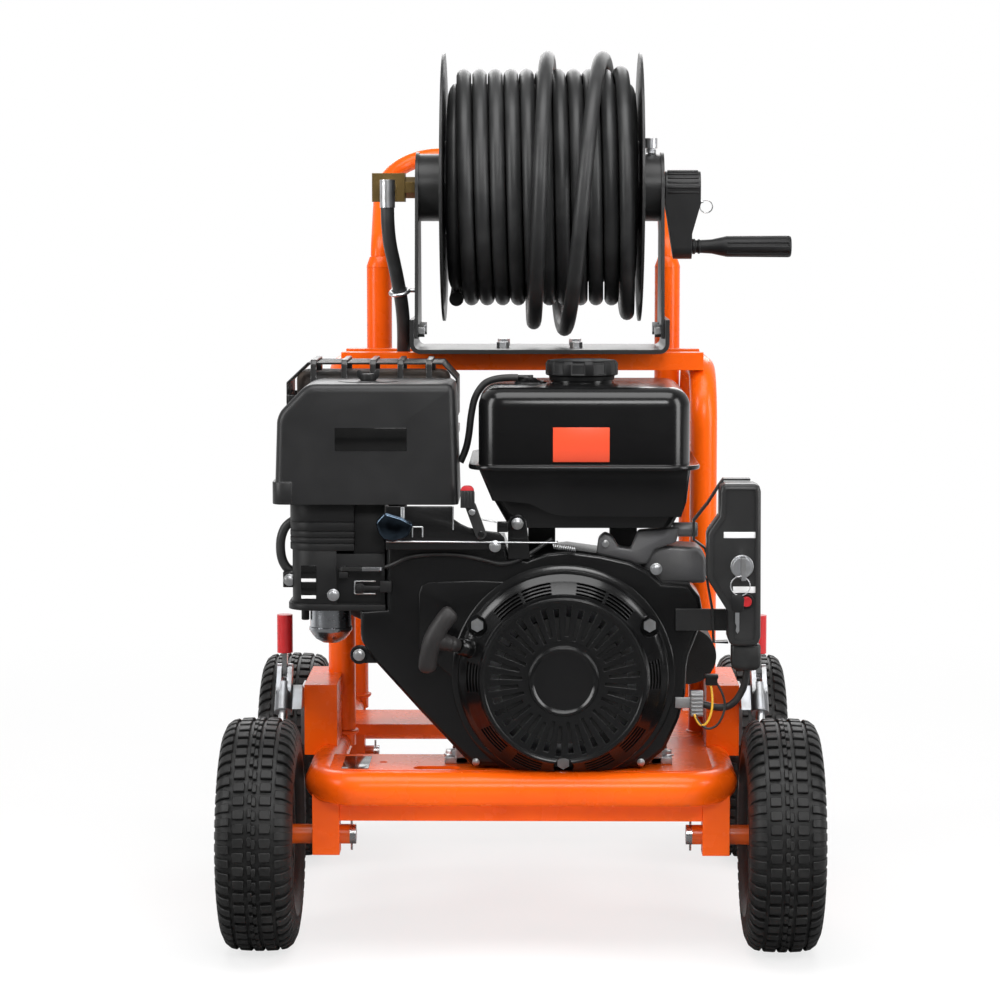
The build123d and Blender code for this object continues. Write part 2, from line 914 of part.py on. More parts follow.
def hose_point(angle):
    """Middle of the hose after it has wound on by an angle, starting below the drum."""
    past = angle - wound_angle
    radius = hose_radius + loose_layer * ease((past + 1.5 * pi) / (2 * pi))
    radius += loose_sag * bulge((past - 2 * pi) / (0.9 * pi))
    radius += loose_sag / 2 * bulge((past - 4 * pi) / (0.8 * pi))
    x = hose_first_x + hose_pitch * min(angle / (2 * pi), hose_turns)
    x -= loose_shift * ease(past / (2.5 * pi)) + loose_drift * ease((past - 2 * pi) / (2.4 * pi))
    return Vector(x, reel_y + radius * sin(angle), reel_z - radius * cos(angle))


def hose_heading(angle):
    """Direction in which the hose winds on at an angle."""
    small = 1e-4
    return (hose_point(angle + small) - hose_point(angle - small)).normalized()


def biarc(start, start_heading, end, end_heading):
    """Join two points by two arcs that keep the headings at both ends."""
    chord = end - start
    both = start_heading + end_heading
    square = 2 * (1 - start_heading.dot(end_heading))
    linear = 2 * chord.dot(both)
    reach = (sqrt(linear**2 + 4 * square * chord.dot(chord)) - linear) / (2 * square)
    first_corner = start + start_heading * reach
    second_corner = end - end_heading * reach
    middle = (first_corner + second_corner) * 0.5
    TangentArc(start, middle, tangent=start_heading)
    TangentArc(middle, end, tangent=second_corner - first_corner)


quarter_count = 4 * hose_turns + loose_quarters
hose_marks = [(hose_point(n * pi / 2), hose_heading(n * pi / 2)) for n in range(quarter_count + 1)]
hose_start = hose_marks[0][0] - hose_marks[0][1] * hose_dia
hose_end = hose_marks[-1][0] + hose_marks[-1][1] * hose_dia
with BuildPart() as hose_winding:
    with BuildLine() as hose_line:
        Line(hose_start, hose_marks[0][0])
        for (start, start_heading), (end, end_heading) in zip(hose_marks, hose_marks[1:]):
            biarc(start, start_heading, end, end_heading)
        Line(hose_marks[-1][0], hose_end)
    with BuildSketch(Plane(origin=hose_start, z_dir=hose_marks[0][1])) as hose_section:
        Circle(hose_dia / 2)
    sweep(sections=hose_section.sketch, path=hose_line.line)
save(hose_winding, "hose_winding")
hose_length = hose_line.wire().length
volume_share = hose_winding.part.volume / (pi * hose_dia**2 / 4 * hose_length)
print("wound tube", round(hose_length), "mm, volume over section times length", round(volume_share, 4))


def least_gap(wire, dia, step):
    """Least gap between stretches of a wound tube, measured on points along its middle line."""
    count = ceil(wire.length / step)
    points = [tuple(wire.position_at(n / count)) for n in range(count + 1)]
    cells = {}
    least = wire.length
    apart = ceil(3 * dia / step)
    for n, point in enumerate(points):
        home = tuple(int(value // (2 * dia)) for value in point)
        for step_to in product((-1, 0, 1), repeat=3):
            cell = tuple(a + b for a, b in zip(home, step_to))
            for m, other in cells.get(cell, ()):
                if n - m > apart:
                    least = min(least, hypot(*(a - b for a, b in zip(point, other))))
        cells.setdefault(home, []).append((n, point))
    return least - dia


print("least gap in the winding", round(least_gap(hose_line.wire(), hose_dia, 3), 2), "mm")

with BuildPart() as hose_end_fitting:
    rod(hose_end, hose_end + hose_marks[-1][1] * end_fitting_length / 2, end_fitting_dia)
    hex_head(
        hose_end + hose_marks[-1][1] * end_fitting_length / 2,
        hose_end + hose_marks[-1][1] * end_fitting_length,
        end_fitting_dia - 2,
    )
save(hose_end_fitting, "hose_end_fitting")

# Crank with a grip that spins on its pin
crank_tip_z = reel_z - crank_radius
arm_start_x = crank_end_x - crank_arm_thick - 2 * plate_thick
arm_end_x = arm_start_x + crank_arm_thick
with BuildPart() as crank_blade:
    with BuildSketch(side_plane(crank_hub_x)):
        with BuildLine():
            Polyline(
                (reel_y - crank_hub_dia / 2, reel_z),
                (reel_y + crank_hub_dia / 2, reel_z),
                (reel_y + crank_tip_dia / 2, crank_tip_z),
                (reel_y - crank_tip_dia / 2, crank_tip_z),
                close=True,
            )
        make_face()
        with Locations((reel_y, crank_tip_z)):
            Circle(crank_tip_dia / 2)
    extrude(amount=crank_end_x - crank_hub_x)
    with BuildSketch(front_plane(reel_y - crank_hub_dia)):
        with BuildLine():
            Polyline(
                (crank_hub_x, reel_z),
                (crank_hub_x, reel_z - crank_hub_dia / 2),
                (arm_start_x, crank_tip_z - crank_tip_dia / 2),
                (arm_end_x, crank_tip_z - crank_tip_dia / 2),
                (arm_end_x, crank_tip_z + crank_tip_dia / 2),
                (crank_end_x, reel_z - crank_hub_dia / 2),
                (crank_end_x, reel_z),
                close=True,
            )
        make_face()
    extrude(amount=-2 * crank_hub_dia, mode=Mode.INTERSECT)
with BuildPart() as crank_arm:
    rod((crank_hub_x, reel_y, reel_z), (crank_end_x, reel_y, reel_z), crank_hub_dia)
    add(crank_blade.part)
    grip_start_x = arm_end_x + 2 * move_gap
    grip_end_x = grip_start_x + grip_length
    rod((arm_end_x, reel_y, crank_tip_z), (grip_end_x - plate_thick, reel_y, crank_tip_z), crank_pin_dia)
    rod((crank_hub_x, reel_y, reel_z), (shaft_right_x, reel_y, reel_z), shaft_dia, mode=Mode.SUBTRACT)
save(crank_arm, "crank_arm")

with BuildPart() as crank_grip:
    rod((grip_start_x, reel_y, crank_tip_z), (grip_end_x, reel_y, crank_tip_z), grip_dia)
    fillet(crank_grip.edges().filter_by(GeomType.CIRCLE), grip_dia / 8)
    rod(
        (grip_start_x, reel_y, crank_tip_z),
        (grip_end_x - plate_thick + move_gap, reel_y, crank_tip_z),
        crank_pin_dia + 2 * run_gap,
        mode=Mode.SUBTRACT,
    )
save(crank_grip, "crank_grip")

# Swivel on the reel's left end, with its elbow and jumper hose
nut_x = plate_left_x - move_gap
swivel_right_x = nut_x - swivel_nut_length
swivel_x = swivel_right_x - swivel_length / 2
with BuildPart() as swivel_joint:
    hex_head((nut_x, reel_y, reel_z), (swivel_right_x, reel_y, reel_z), swivel_nut_width)
    half = swivel_width / 2
    block(
        (swivel_right_x - swivel_length, reel_y - half, reel_z - half),
        (swivel_right_x, reel_y + half, reel_z + half),
    )
save(swivel_joint, "swivel_joint")

elbow_y = reel_y - half - elbow_reach
elbow_foot = (swivel_x, elbow_y, reel_z - elbow_drop)
pump_rear_y = pump_front_y + pump_length
outlet_y = pump_rear_y + pump_head_length / 2
outlet_end = (pump_left_x + pump_head_inset - outlet_length, outlet_y, outlet_z)
jumper_fall = reel_z - outlet_z
jumper_route = [
    elbow_foot,
    (swivel_x, elbow_y, reel_z - 0.1075 * jumper_fall),
    (-150, 0, reel_z - 0.19 * jumper_fall),
    (-142.5, 17, reel_z - 0.2783 * jumper_fall),
    (-142, 30, reel_z - 0.3666 * jumper_fall),
    (-146, 46, reel_z - 0.4722 * jumper_fall),
    (-154, 74, reel_z - 0.572 * jumper_fall),
    (-163, 112, reel_z - 0.668 * jumper_fall),
    (-169, 142, reel_z - 0.7658 * jumper_fall),
    (-166, outlet_y, reel_z - 0.8695 * jumper_fall),
    (-143, outlet_y, reel_z - 0.9501 * jumper_fall),
    (-99, outlet_y, outlet_z),
    outlet_end,
]
with BuildPart() as jumper_hose:
    tube(jumper_route, hose_bends("jumper hose", jumper_route, jumper_dia), jumper_dia)
save(jumper_hose, "jumper_hose")

# Reel hardware: elbow, ring clip and bolts
with BuildPart() as reel_hardware:
    rod((swivel_x, reel_y - half, reel_z), (swivel_x, elbow_y, reel_z), elbow_dia)
    rod((swivel_x, elbow_y, reel_z + elbow_dia / 2), elbow_foot, elbow_dia)
    clip_heading = Vector(*jumper_route[3]) - Vector(*jumper_route[2])
    clip_place = Vector(*jumper_route[2]) + clip_heading * 0.5
    clip_radius = (jumper_dia + clip_wire) / 2 + move_gap
    with BuildSketch(Plane(origin=clip_place, x_dir=(1, 0, 0), z_dir=(0, -1, 0))) as clip_section:
        with Locations((clip_radius, 0)):
            Circle(clip_wire / 2)
    revolve(clip_section.sketch, axis=Axis(clip_place, clip_heading))
    rod(clip_place + Vector(clip_radius, 0, 0), (plate_left_x, clip_place.Y, clip_place.Z), clip_wire)
    side_bolt_z = plate_top + plate_lip / 2 + bolt_head / 4
    for bolt_y in (reel_y - arm_foot_width / 3, reel_y + arm_foot_width / 3):
        for inner_x, step in ((left_arm_x, bolt_head_thick), (right_arm_x, -bolt_head_thick)):
            hex_head((inner_x, bolt_y, side_bolt_z), (inner_x + step, bolt_y, side_bolt_z), bolt_head)
    for bolt_y in (front_crossbar_y + crossbar_depth / 2, rear_crossbar_y + crossbar_depth / 2):
        for bolt_x in (plate_left_x + 8 * bolt_head, plate_right_x - 8 * bolt_head):
            hex_head((bolt_x, bolt_y, plate_top), (bolt_x, bolt_y, plate_top + bolt_head_thick), bolt_head)
save(reel_hardware, "reel_hardware")

# Engine: crankcase with foot and rear cover
case_middle_x = (case_left_x + case_right_x) / 2
case_middle_z = (case_bottom + case_foot + case_top) / 2
crank_axis = Axis((crank_x, 0, crank_z), (0, 1, 0))
cover_rear_y = case_rear_y + case_cover
with BuildPart() as crankcase:
    block((case_left_x, case_front_y, case_bottom + case_foot), (case_right_x, case_rear_y, case_top))
    block(
        (case_left_x - case_foot_reach, case_front_y, case_bottom),
        (case_right_x + case_foot_reach, case_rear_y, case_bottom + case_foot),
    )
    rod(
        (crank_x, case_front_y + case_front_wall, crank_z),
        (crank_x, case_rear_y, crank_z),
        case_cavity_dia,
        mode=Mode.SUBTRACT,
    )
    rod((crank_x, case_front_y, crank_z), (crank_x, 0, crank_z), journal_dia + 2 * run_gap, mode=Mode.SUBTRACT)
with BuildPart() as case_rear_cover:
    with BuildSketch(front_plane(case_rear_y)):
        with Locations((case_middle_x, case_middle_z)):
            RectangleRounded(
                case_right_x - case_left_x - case_foot_reach,
                case_top - case_bottom - 2 * case_foot,
                case_corner,
            )
    extrude(amount=-case_cover)
    rod((crank_x, case_rear_y, crank_z), (crank_x, cover_rear_y, crank_z), pto_dia + 2 * run_gap, Mode.SUBTRACT)
with BuildPart() as case_set:
    add(crankcase.part.solids() + case_rear_cover.part.solids())
save(case_set, "crankcase")

# Crankshaft with webs and power take-off, and the flywheel with its starter cup
flywheel_rear_y = flywheel_front_y + flywheel_thick
web_front_y = (case_front_y + case_front_wall + case_rear_y - web_thick) / 2
with BuildPart() as shaft:
    rod((crank_x, flywheel_front_y, crank_z), (crank_x, flywheel_rear_y, crank_z), flywheel_bore)
    rod((crank_x, flywheel_rear_y, crank_z), (crank_x, web_front_y, crank_z), journal_dia)
    rod((crank_x, web_front_y, crank_z), (crank_x, web_front_y + web_thick, crank_z), web_dia)
    rod((crank_x, web_front_y + web_thick, crank_z), (crank_x, pto_end_y, crank_z), pto_dia)
with BuildPart() as flywheel:
    rod((crank_x, flywheel_front_y, crank_z), (crank_x, flywheel_rear_y, crank_z), flywheel_dia)
    cup_front_y = flywheel_front_y - starter_cup_length
    rod((crank_x, cup_front_y, crank_z), (crank_x, flywheel_front_y, crank_z), starter_cup_dia)
    rod(
        (crank_x, cup_front_y, crank_z),
        (crank_x, flywheel_front_y, crank_z),
        starter_cup_dia - 2 * recoil_wall,
        mode=Mode.SUBTRACT,
    )
    rod((crank_x, flywheel_front_y, crank_z), (crank_x, flywheel_rear_y, crank_z), flywheel_bore, Mode.SUBTRACT)
with BuildPart() as crank_set:
    add(shaft.part.solids() + flywheel.part.solids())
save(crank_set, "crankshaft")

# Leaning cylinder: finned barrel, head and rocker cover
lean = Vector(-cos(radians(cylinder_lean)), 0, sin(radians(cylinder_lean)))
bore_base = Vector(crank_x, barrel_y, crank_z)


def bore_plane(reach):
    """Plane square to the cylinder's bore, at a reach from the crankshaft."""
    return Plane(origin=bore_base + lean * reach, x_dir=(0, 1, 0), z_dir=lean)


head_end = head_start + head_length
with BuildPart() as cylinder_block:
    rod(bore_base, bore_base + lean * head_start, barrel_bore_core)
    for n in range(fin_count):
        with BuildSketch(bore_plane(fin_start + n * fin_pitch)):
            RectangleRounded(fin_width, fin_height, fin_pitch)
        extrude(amount=fin_thick)
    with BuildSketch(bore_plane(head_start)):
        RectangleRounded(fin_width - fin_pitch, fin_height - fin_pitch, fin_pitch)
    extrude(amount=head_length)
    with BuildSketch(bore_plane(head_end)):
        RectangleRounded(rocker_width, rocker_height, 2 * fin_pitch)
    extrude(amount=rocker_length)
    block(
        (case_left_x, case_front_y, case_bottom),
        (case_right_x, case_rear_y, case_top),
        mode=Mode.SUBTRACT,
    )
save(cylinder_block, "cylinder_block")

# Fan shroud: thin cover with an open back, plus the control plate for the throttle
shroud_bottom = crank_z + min(rise for across, rise in shroud_offsets)


def shroud_face():
    """Draw the shroud's outline in the open sketch."""
    with Locations((crank_x, crank_z)):
        Circle(shroud_radius)
        Polygon(*shroud_offsets, align=None)
    with Locations((crank_x, shroud_bottom)):
        Rectangle(2 * shroud_radius, shroud_radius, align=(Align.CENTER, Align.MAX), mode=Mode.SUBTRACT)


with BuildPart() as fan_shroud:
    with BuildSketch(front_plane(shroud_front_y)):
        shroud_face()
    extrude(amount=-shroud_depth)
    with BuildSketch(front_plane(shroud_front_y + shroud_wall)):
        shroud_face()
        offset(amount=-shroud_wall, mode=Mode.REPLACE)
    extrude(amount=shroud_wall - shroud_depth, mode=Mode.SUBTRACT)
    rod(
        (crank_x, shroud_front_y, crank_z),
        (crank_x, shroud_front_y + 2 * shroud_wall, crank_z),
        shroud_mouth_dia,
        mode=Mode.SUBTRACT,
    )
    lever_front_y = throttle_y - throttle_plate / 2
    lever_rear_y = throttle_y + throttle_plate / 2
    plate_face_y = lever_rear_y + 4 * move_gap
    block(
        (control_plate_left_x, plate_face_y, control_plate_bottom),
        (control_plate_right_x, plate_face_y + control_plate_thick, control_plate_top),
    )
    block(
        (control_plate_left_x, plate_face_y, control_plate_bottom),
        (control_plate_right_x, shroud_front_y, control_plate_bottom + control_plate_thick),
    )
    rod(
        (throttle_x, lever_front_y - 2 * move_gap, throttle_z),
        (throttle_x, plate_face_y, throttle_z),
        throttle_post_dia,
    )
save(fan_shroud, "fan_shroud")

# Recoil starter: slotted cover with bolt pockets, rope boss and pulley post
recoil_front_y = shroud_front_y - recoil_depth
recoil_floor_y = shroud_front_y - recoil_flange
pull = Vector(*pull_heading).normalized()
boss_across, boss_rise = rope_boss_offset
boss_start = Vector(crank_x + boss_across, shroud_front_y - rope_boss_depth, crank_z + boss_rise)
boss_end = boss_start + pull * rope_boss_length
bolt_places = [
    (
        crank_x + recoil_bolt_radius * cos(radians(angle)),
        max(crank_z + recoil_bolt_radius * sin(radians(angle)), shroud_bottom + bolt_head / 2),
    )
    for angle in recoil_bolt_angles
]


def recoil_ring(inset):
    """Draw half the recoil cover's section in the open sketch, inset for its inside."""
    flange_radius = recoil_dia / 2 if not inset else recoil_rim_dia / 2 - inset
    rear_y = shroud_front_y
    points = [
        (crank_x, rear_y),
        (crank_x + flange_radius, rear_y),
        (crank_x + flange_radius, recoil_floor_y),
        (crank_x + recoil_rim_dia / 2 - inset, recoil_floor_y),
        (crank_x + recoil_rim_dia / 2 - inset, recoil_front_y + recoil_shoulder),
        (crank_x + recoil_face_dia / 2 - inset / 2, recoil_front_y + inset),
        (crank_x, recoil_front_y + inset),
    ]
    if inset:
        points.pop(2)
    Polygon(*points, align=None)


with BuildPart() as recoil_hollow:
    with BuildSketch(Plane.XY.offset(crank_z)):
        recoil_ring(recoil_wall)
    revolve(axis=crank_axis)
    for x, z in bolt_places:
        rod((x, recoil_front_y, z), (x, shroud_front_y, z), pocket_dia + 2 * recoil_wall, Mode.SUBTRACT)
with BuildPart() as recoil_cover:
    with BuildSketch(Plane.XY.offset(crank_z)):
        recoil_ring(0)
    revolve(axis=crank_axis)
    rod(boss_start, boss_end, rope_boss_dia)
    add(recoil_hollow.part, mode=Mode.SUBTRACT)
    for x, z in bolt_places:
        rod((x, recoil_front_y, z), (x, recoil_floor_y, z), pocket_dia, Mode.SUBTRACT)
    with BuildSketch(front_plane(recoil_front_y)):
        with Locations((crank_x, crank_z)):
            with PolarLocations((slot_inner_radius + slot_outer_radius) / 2, slot_count):
                SlotOverall(slot_outer_radius - slot_inner_radius, slot_width)
            with PolarLocations(outer_slot_radius, outer_slot_count, start_angle=180 / outer_slot_count):
                SlotOverall(outer_slot_length, slot_width)
    extrude(amount=-recoil_shoulder, mode=Mode.SUBTRACT)
    rod(
        (crank_x, recoil_front_y, crank_z),
        (crank_x, recoil_front_y + recoil_post_length, crank_z),
        recoil_post_dia,
    )
    rod(boss_start - pull * rope_boss_length, boss_end, rope_dia + 2 * move_gap, Mode.SUBTRACT)
    block(
        (crank_x - recoil_dia, recoil_front_y, crank_z - recoil_dia),
        (crank_x + recoil_dia, shroud_front_y, shroud_bottom),
        mode=Mode.SUBTRACT,
    )
save(recoil_cover, "recoil_cover")

with BuildPart() as recoil_pulley:
    pulley_front_y = recoil_front_y + recoil_wall + pulley_room
    pulley_rear_y = pulley_front_y + pulley_thick
    rod((crank_x, pulley_front_y, crank_z), (crank_x, pulley_rear_y, crank_z), pulley_dia - 2 * pulley_groove)
    for flange_y in (pulley_front_y, pulley_rear_y - pulley_flange):
        rod((crank_x, flange_y, crank_z), (crank_x, flange_y + pulley_flange, crank_z), pulley_dia)
    rod(
        (crank_x, pulley_front_y, crank_z),
        (crank_x, pulley_rear_y, crank_z),
        recoil_post_dia + 2 * run_gap,
        mode=Mode.SUBTRACT,
    )
save(recoil_pulley, "recoil_pulley")

stem_start = boss_end + pull * grip_gap
bar_middle = stem_start + pull * starter_stem_length
bar_half = Vector(cos(radians(starter_tilt)), 0, sin(radians(starter_tilt))) * (starter_bar_length / 2)
with BuildPart() as starter_grip:
    with BuildSketch(Plane(origin=stem_start, z_dir=pull)) as stem_tip:
        Circle(starter_stem_tip / 2)
    with BuildSketch(Plane(origin=bar_middle, z_dir=pull)) as stem_root:
        Circle(starter_stem_root / 2)
    loft([stem_tip.sketch, stem_root.sketch])
    rod(bar_middle - bar_half, bar_middle + bar_half, starter_bar_dia)
save(starter_grip, "starter_grip")

with BuildPart() as starter_rope:
    rod(boss_end - pull * rope_inside, stem_start, rope_dia)
save(starter_rope, "starter_rope")

# Air cleaner cover: shell with one sloped corner, open below
with BuildPart() as air_cleaner_cover:
    for inset, mode in ((0, Mode.ADD), (cleaner_wall, Mode.SUBTRACT)):
        slope = cleaner_slope - inset * (2 - sqrt(2))
        left = cleaner_left_x + inset
        right = cleaner_right_x - inset
        top = cleaner_top - inset
        with BuildSketch(front_plane(cleaner_front_y + inset)):
            with BuildLine():
                FilletPolyline(
                    (right, cleaner_bottom),
                    (right, top),
                    (left + slope, top),
                    (left, top - slope),
                    (left, cleaner_bottom),
                    radius=cleaner_corner - inset,
                )
                Line((left, cleaner_bottom), (right, cleaner_bottom))
            make_face()
        extrude(amount=cleaner_front_y - cleaner_rear_y + 2 * inset, mode=mode)
save(air_cleaner_cover, "air_cleaner_cover")

# Carburettor housing with the base plate of the air cleaner and the pins for its levers
choke_bottom = choke_z - choke_thick / 2
choke_y = carb_front_y - choke_width / 2 - 2 * move_gap
fuel_lever_rear_y = carb_front_y - 10 * move_gap
fuel_lever_front_y = fuel_lever_rear_y - fuel_lever_thick
plate_inset = cleaner_wall + move_gap
with BuildPart() as carburettor_housing:
    with BuildSketch(Plane.XY.offset(carb_bottom)):
        with Locations(((carb_left_x + carb_right_x) / 2, (carb_front_y + carb_rear_y) / 2)):
            RectangleRounded(carb_right_x - carb_left_x, carb_rear_y - carb_front_y, carb_corner)
    extrude(amount=cleaner_bottom - carb_bottom)
    block(
        (cleaner_left_x + plate_inset, cleaner_front_y + plate_inset, cleaner_bottom),
        (cleaner_right_x - plate_inset, cleaner_rear_y - plate_inset, cleaner_bottom + carb_rim),
    )
    block(
        (choke_x - choke_width / 2, carb_front_y - choke_width, choke_bottom - carb_rim),
        (choke_x + choke_width / 2, carb_front_y + carb_corner, choke_bottom - 2 * move_gap),
    )
    choke_pin_foot = (choke_x, choke_y, choke_bottom - 2 * move_gap)
    rod(choke_pin_foot, (choke_x, choke_y, choke_z + choke_thick), lever_pin_dia)
    fuel_pin_foot = (fuel_lever_x, carb_front_y + carb_corner, fuel_lever_z)
    rod(fuel_pin_foot, (fuel_lever_x, fuel_lever_front_y - move_gap, fuel_lever_z), lever_pin_dia)
save(carburettor_housing, "carburettor_housing")

with BuildPart() as carburettor:
    bowl_bottom = carb_bottom - bowl_depth
    rod((bowl_x, bowl_y, bowl_bottom), (bowl_x, bowl_y, carb_bottom), bowl_dia)
    rod((bowl_x, bowl_y, bowl_bottom - bowl_boss_depth), (bowl_x, bowl_y, bowl_bottom), bowl_boss_dia)
    head_front_y = barrel_y - (fin_width - fin_pitch) / 2
    rod((intake_x, carb_rear_y, intake_z), (intake_x, head_front_y, intake_z), intake_dia)
save(carburettor, "carburettor")

with BuildPart() as choke_lever:
    with BuildSketch(Plane.XY.offset(choke_bottom)):
        with Locations((choke_x + choke_length / 2, choke_y)):
            SlotOverall(choke_length + choke_width, choke_width)
        with Locations((choke_x, choke_y)):
            Circle(lever_pin_dia / 2 + run_gap, mode=Mode.SUBTRACT)
    extrude(amount=choke_thick)
save(choke_lever, "choke_lever")

with BuildPart() as fuel_lever:
    with BuildSketch(front_plane(fuel_lever_rear_y)):
        with Locations((fuel_lever_x + fuel_lever_length / 2, fuel_lever_z)):
            SlotOverall(fuel_lever_length + fuel_lever_width, fuel_lever_width)
        with Locations((fuel_lever_x, fuel_lever_z)):
            Circle(lever_pin_dia / 2 + run_gap, mode=Mode.SUBTRACT)
    extrude(amount=fuel_lever_thick)
save(fuel_lever, "fuel_lever")

with BuildPart() as throttle_lever:
    lever_up = Vector(-sin(radians(throttle_lean)), 0, cos(radians(throttle_lean)))
    throttle_pivot = Vector(throttle_x, throttle_y, throttle_z)
    lever_middle = throttle_pivot + lever_up * (throttle_reach / 2)
    with BuildSketch(Plane(origin=lever_middle, x_dir=lever_up, z_dir=(0, -1, 0))):
        SlotOverall(throttle_reach + throttle_width, throttle_width)
    extrude(amount=throttle_plate / 2, both=True)
    knob_middle = throttle_pivot + lever_up * (throttle_reach + throttle_knob_height / 2)
    knob_low = knob_middle - Vector(throttle_knob_width, throttle_knob_depth, throttle_knob_height) * 0.5
    knob_high = knob_middle + Vector(throttle_knob_width, throttle_knob_depth, throttle_knob_height) * 0.5
    block(knob_low, knob_high)
    rod(
        throttle_pivot - Vector(0, throttle_knob_depth, 0),
        throttle_pivot + Vector(0, throttle_knob_depth, 0),
        throttle_post_dia + 2 * run_gap,
        mode=Mode.SUBTRACT,
    )
save(throttle_lever, "throttle_lever")

# Muffler with its exhaust pipe, and the ribbed guard round it
with BuildPart() as muffler:
    with BuildSketch(Plane.XY.offset(muffler_bottom)):
        with Locations(((muffler_left_x + muffler_right_x) / 2, (muffler_front_y + muffler_rear_y) / 2)):
            RectangleRounded(
                muffler_right_x - muffler_left_x,
                muffler_rear_y - muffler_front_y,
                muffler_corner,
            )
    extrude(amount=muffler_top - muffler_bottom)
    fillet(muffler.faces().sort_by(Axis.Z)[-1].edges(), muffler_corner / 2)
    rod((exhaust_x, exhaust_y, exhaust_bottom), (exhaust_x, exhaust_y, muffler_bottom), exhaust_dia)
    add(cylinder_block.part, mode=Mode.SUBTRACT)
save(muffler, "muffler")

with BuildPart() as muffler_guard:
    guard_left_x = muffler_left_x - guard_margin
    guard_right_x = muffler_right_x + guard_margin
    guard_front_y = muffler_front_y - guard_margin
    guard_rear_y = muffler_rear_y + guard_margin
    guard_top = muffler_top + guard_room + guard_margin
    rib_step = (guard_right_x - guard_left_x - guard_rib_thick) / (guard_rib_count - 1)
    for n in range(guard_rib_count):
        rib_x = guard_left_x + n * rib_step
        rib_end = rib_x + guard_rib_thick
        block((rib_x, guard_front_y, guard_bottom), (rib_end, guard_front_y + guard_rail, guard_top))
        block((rib_x, guard_rear_y - guard_rail, guard_bottom), (rib_end, guard_rear_y, guard_top))
        block((rib_x, guard_front_y, guard_top - guard_rail), (rib_end, guard_rear_y, guard_top))
    for n in range(3):
        rail_z = guard_bottom + guard_rail + n * (guard_top - guard_bottom - 3 * guard_rail) / 2
        for rail_y in (guard_front_y, guard_rear_y - guard_rail):
            block((guard_left_x, rail_y, rail_z), (guard_right_x, rail_y + guard_rail, rail_z + guard_rail))
    for n in range(1, 4):
        rail_y = guard_front_y + n * (guard_rear_y - guard_front_y) / 4 - guard_rail / 2
        block((guard_left_x, rail_y, guard_top - guard_rail), (guard_right_x, rail_y + guard_rail, guard_top))
    tab_y = (guard_front_y + guard_rear_y) / 2
    for tab_x in (guard_left_x + rib_step, guard_right_x - rib_step):
        block(
            (tab_x - guard_rail, tab_y - guard_rail, muffler_top),
            (tab_x + guard_rail, tab_y + guard_rail, guard_top - guard_rail / 2),
        )
save(muffler_guard, "muffler_guard")

# Fuel tank with seam flange, neck and vent nipple
tank_middle = ((tank_left_x + tank_right_x) / 2, (tank_front_y + tank_rear_y) / 2)
tank_width = tank_right_x - tank_left_x
tank_depth = tank_rear_y - tank_front_y
seam_top = tank_seam_z + tank_seam_thick
nipple_z = tank_top + nipple_height
with BuildPart() as fuel_tank:
    with BuildSketch(Plane.XY.offset(tank_seam_z)) as tank_waist:
        with Locations(tank_middle):
            RectangleRounded(tank_width, tank_depth, tank_corner)
    with BuildSketch(Plane.XY.offset(tank_bottom)) as tank_floor:
        with Locations((tank_middle[0] + (tank_taper - tank_draft) / 2, tank_middle[1])):
            RectangleRounded(tank_width - tank_taper - tank_draft, tank_depth - 2 * tank_draft, tank_corner)
    loft([tank_floor.sketch, tank_waist.sketch])
    with BuildSketch(Plane.XY.offset(seam_top)):
        with Locations(tank_middle):
            RectangleRounded(tank_width, tank_depth, tank_corner)
    extrude(amount=tank_top - seam_top)
    fillet(fuel_tank.faces().sort_by(Axis.Z)[-1].edges(), 2 * tank_seam_reach)
    with BuildSketch(Plane.XY.offset(tank_seam_z)):
        with Locations(tank_middle):
            RectangleRounded(
                tank_width + 2 * tank_seam_reach,
                tank_depth + 2 * tank_seam_reach,
                tank_corner + tank_seam_reach,
            )
    extrude(amount=tank_seam_thick)
    rod((cap_x, cap_y, seam_top), (cap_x, cap_y, tank_top + neck_height), neck_dia)
    rod((nipple_x, nipple_y, seam_top), (nipple_x, nipple_y, nipple_z + nipple_dia / 2), nipple_dia)
    rod((nipple_x, nipple_y, nipple_z), (nipple_x - nipple_reach, nipple_y, nipple_z), nipple_dia)
save(fuel_tank, "fuel_tank")

with BuildPart() as fuel_cap:
    cap_bottom = tank_top + move_gap
    rod((cap_x, cap_y, cap_bottom), (cap_x, cap_y, cap_top), cap_dia)
    recess_top = tank_top + neck_height + move_gap
    rod((cap_x, cap_y, cap_bottom), (cap_x, cap_y, recess_top), neck_dia + 2 * run_gap, mode=Mode.SUBTRACT)
save(fuel_cap, "fuel_cap")

breather_route = [
    (nipple_x - nipple_reach, nipple_y, nipple_z),
    (-35, nipple_y, nipple_z + 1),
    (-52, -194, 618),
    (-57, -196, 594),
    (-59, -198, 572),
    (-63, -199, 553),
    (cleaner_right_x, -200, 541),
]
with BuildPart() as breather_hose:
    tube(breather_route, hose_bends("breather hose", breather_route, breather_dia), breather_dia)
    block(
        (cleaner_left_x, cleaner_front_y, cleaner_bottom),
        (cleaner_right_x, cleaner_rear_y, cleaner_top),
        mode=Mode.SUBTRACT,
    )
save(breather_hose, "breather_hose")

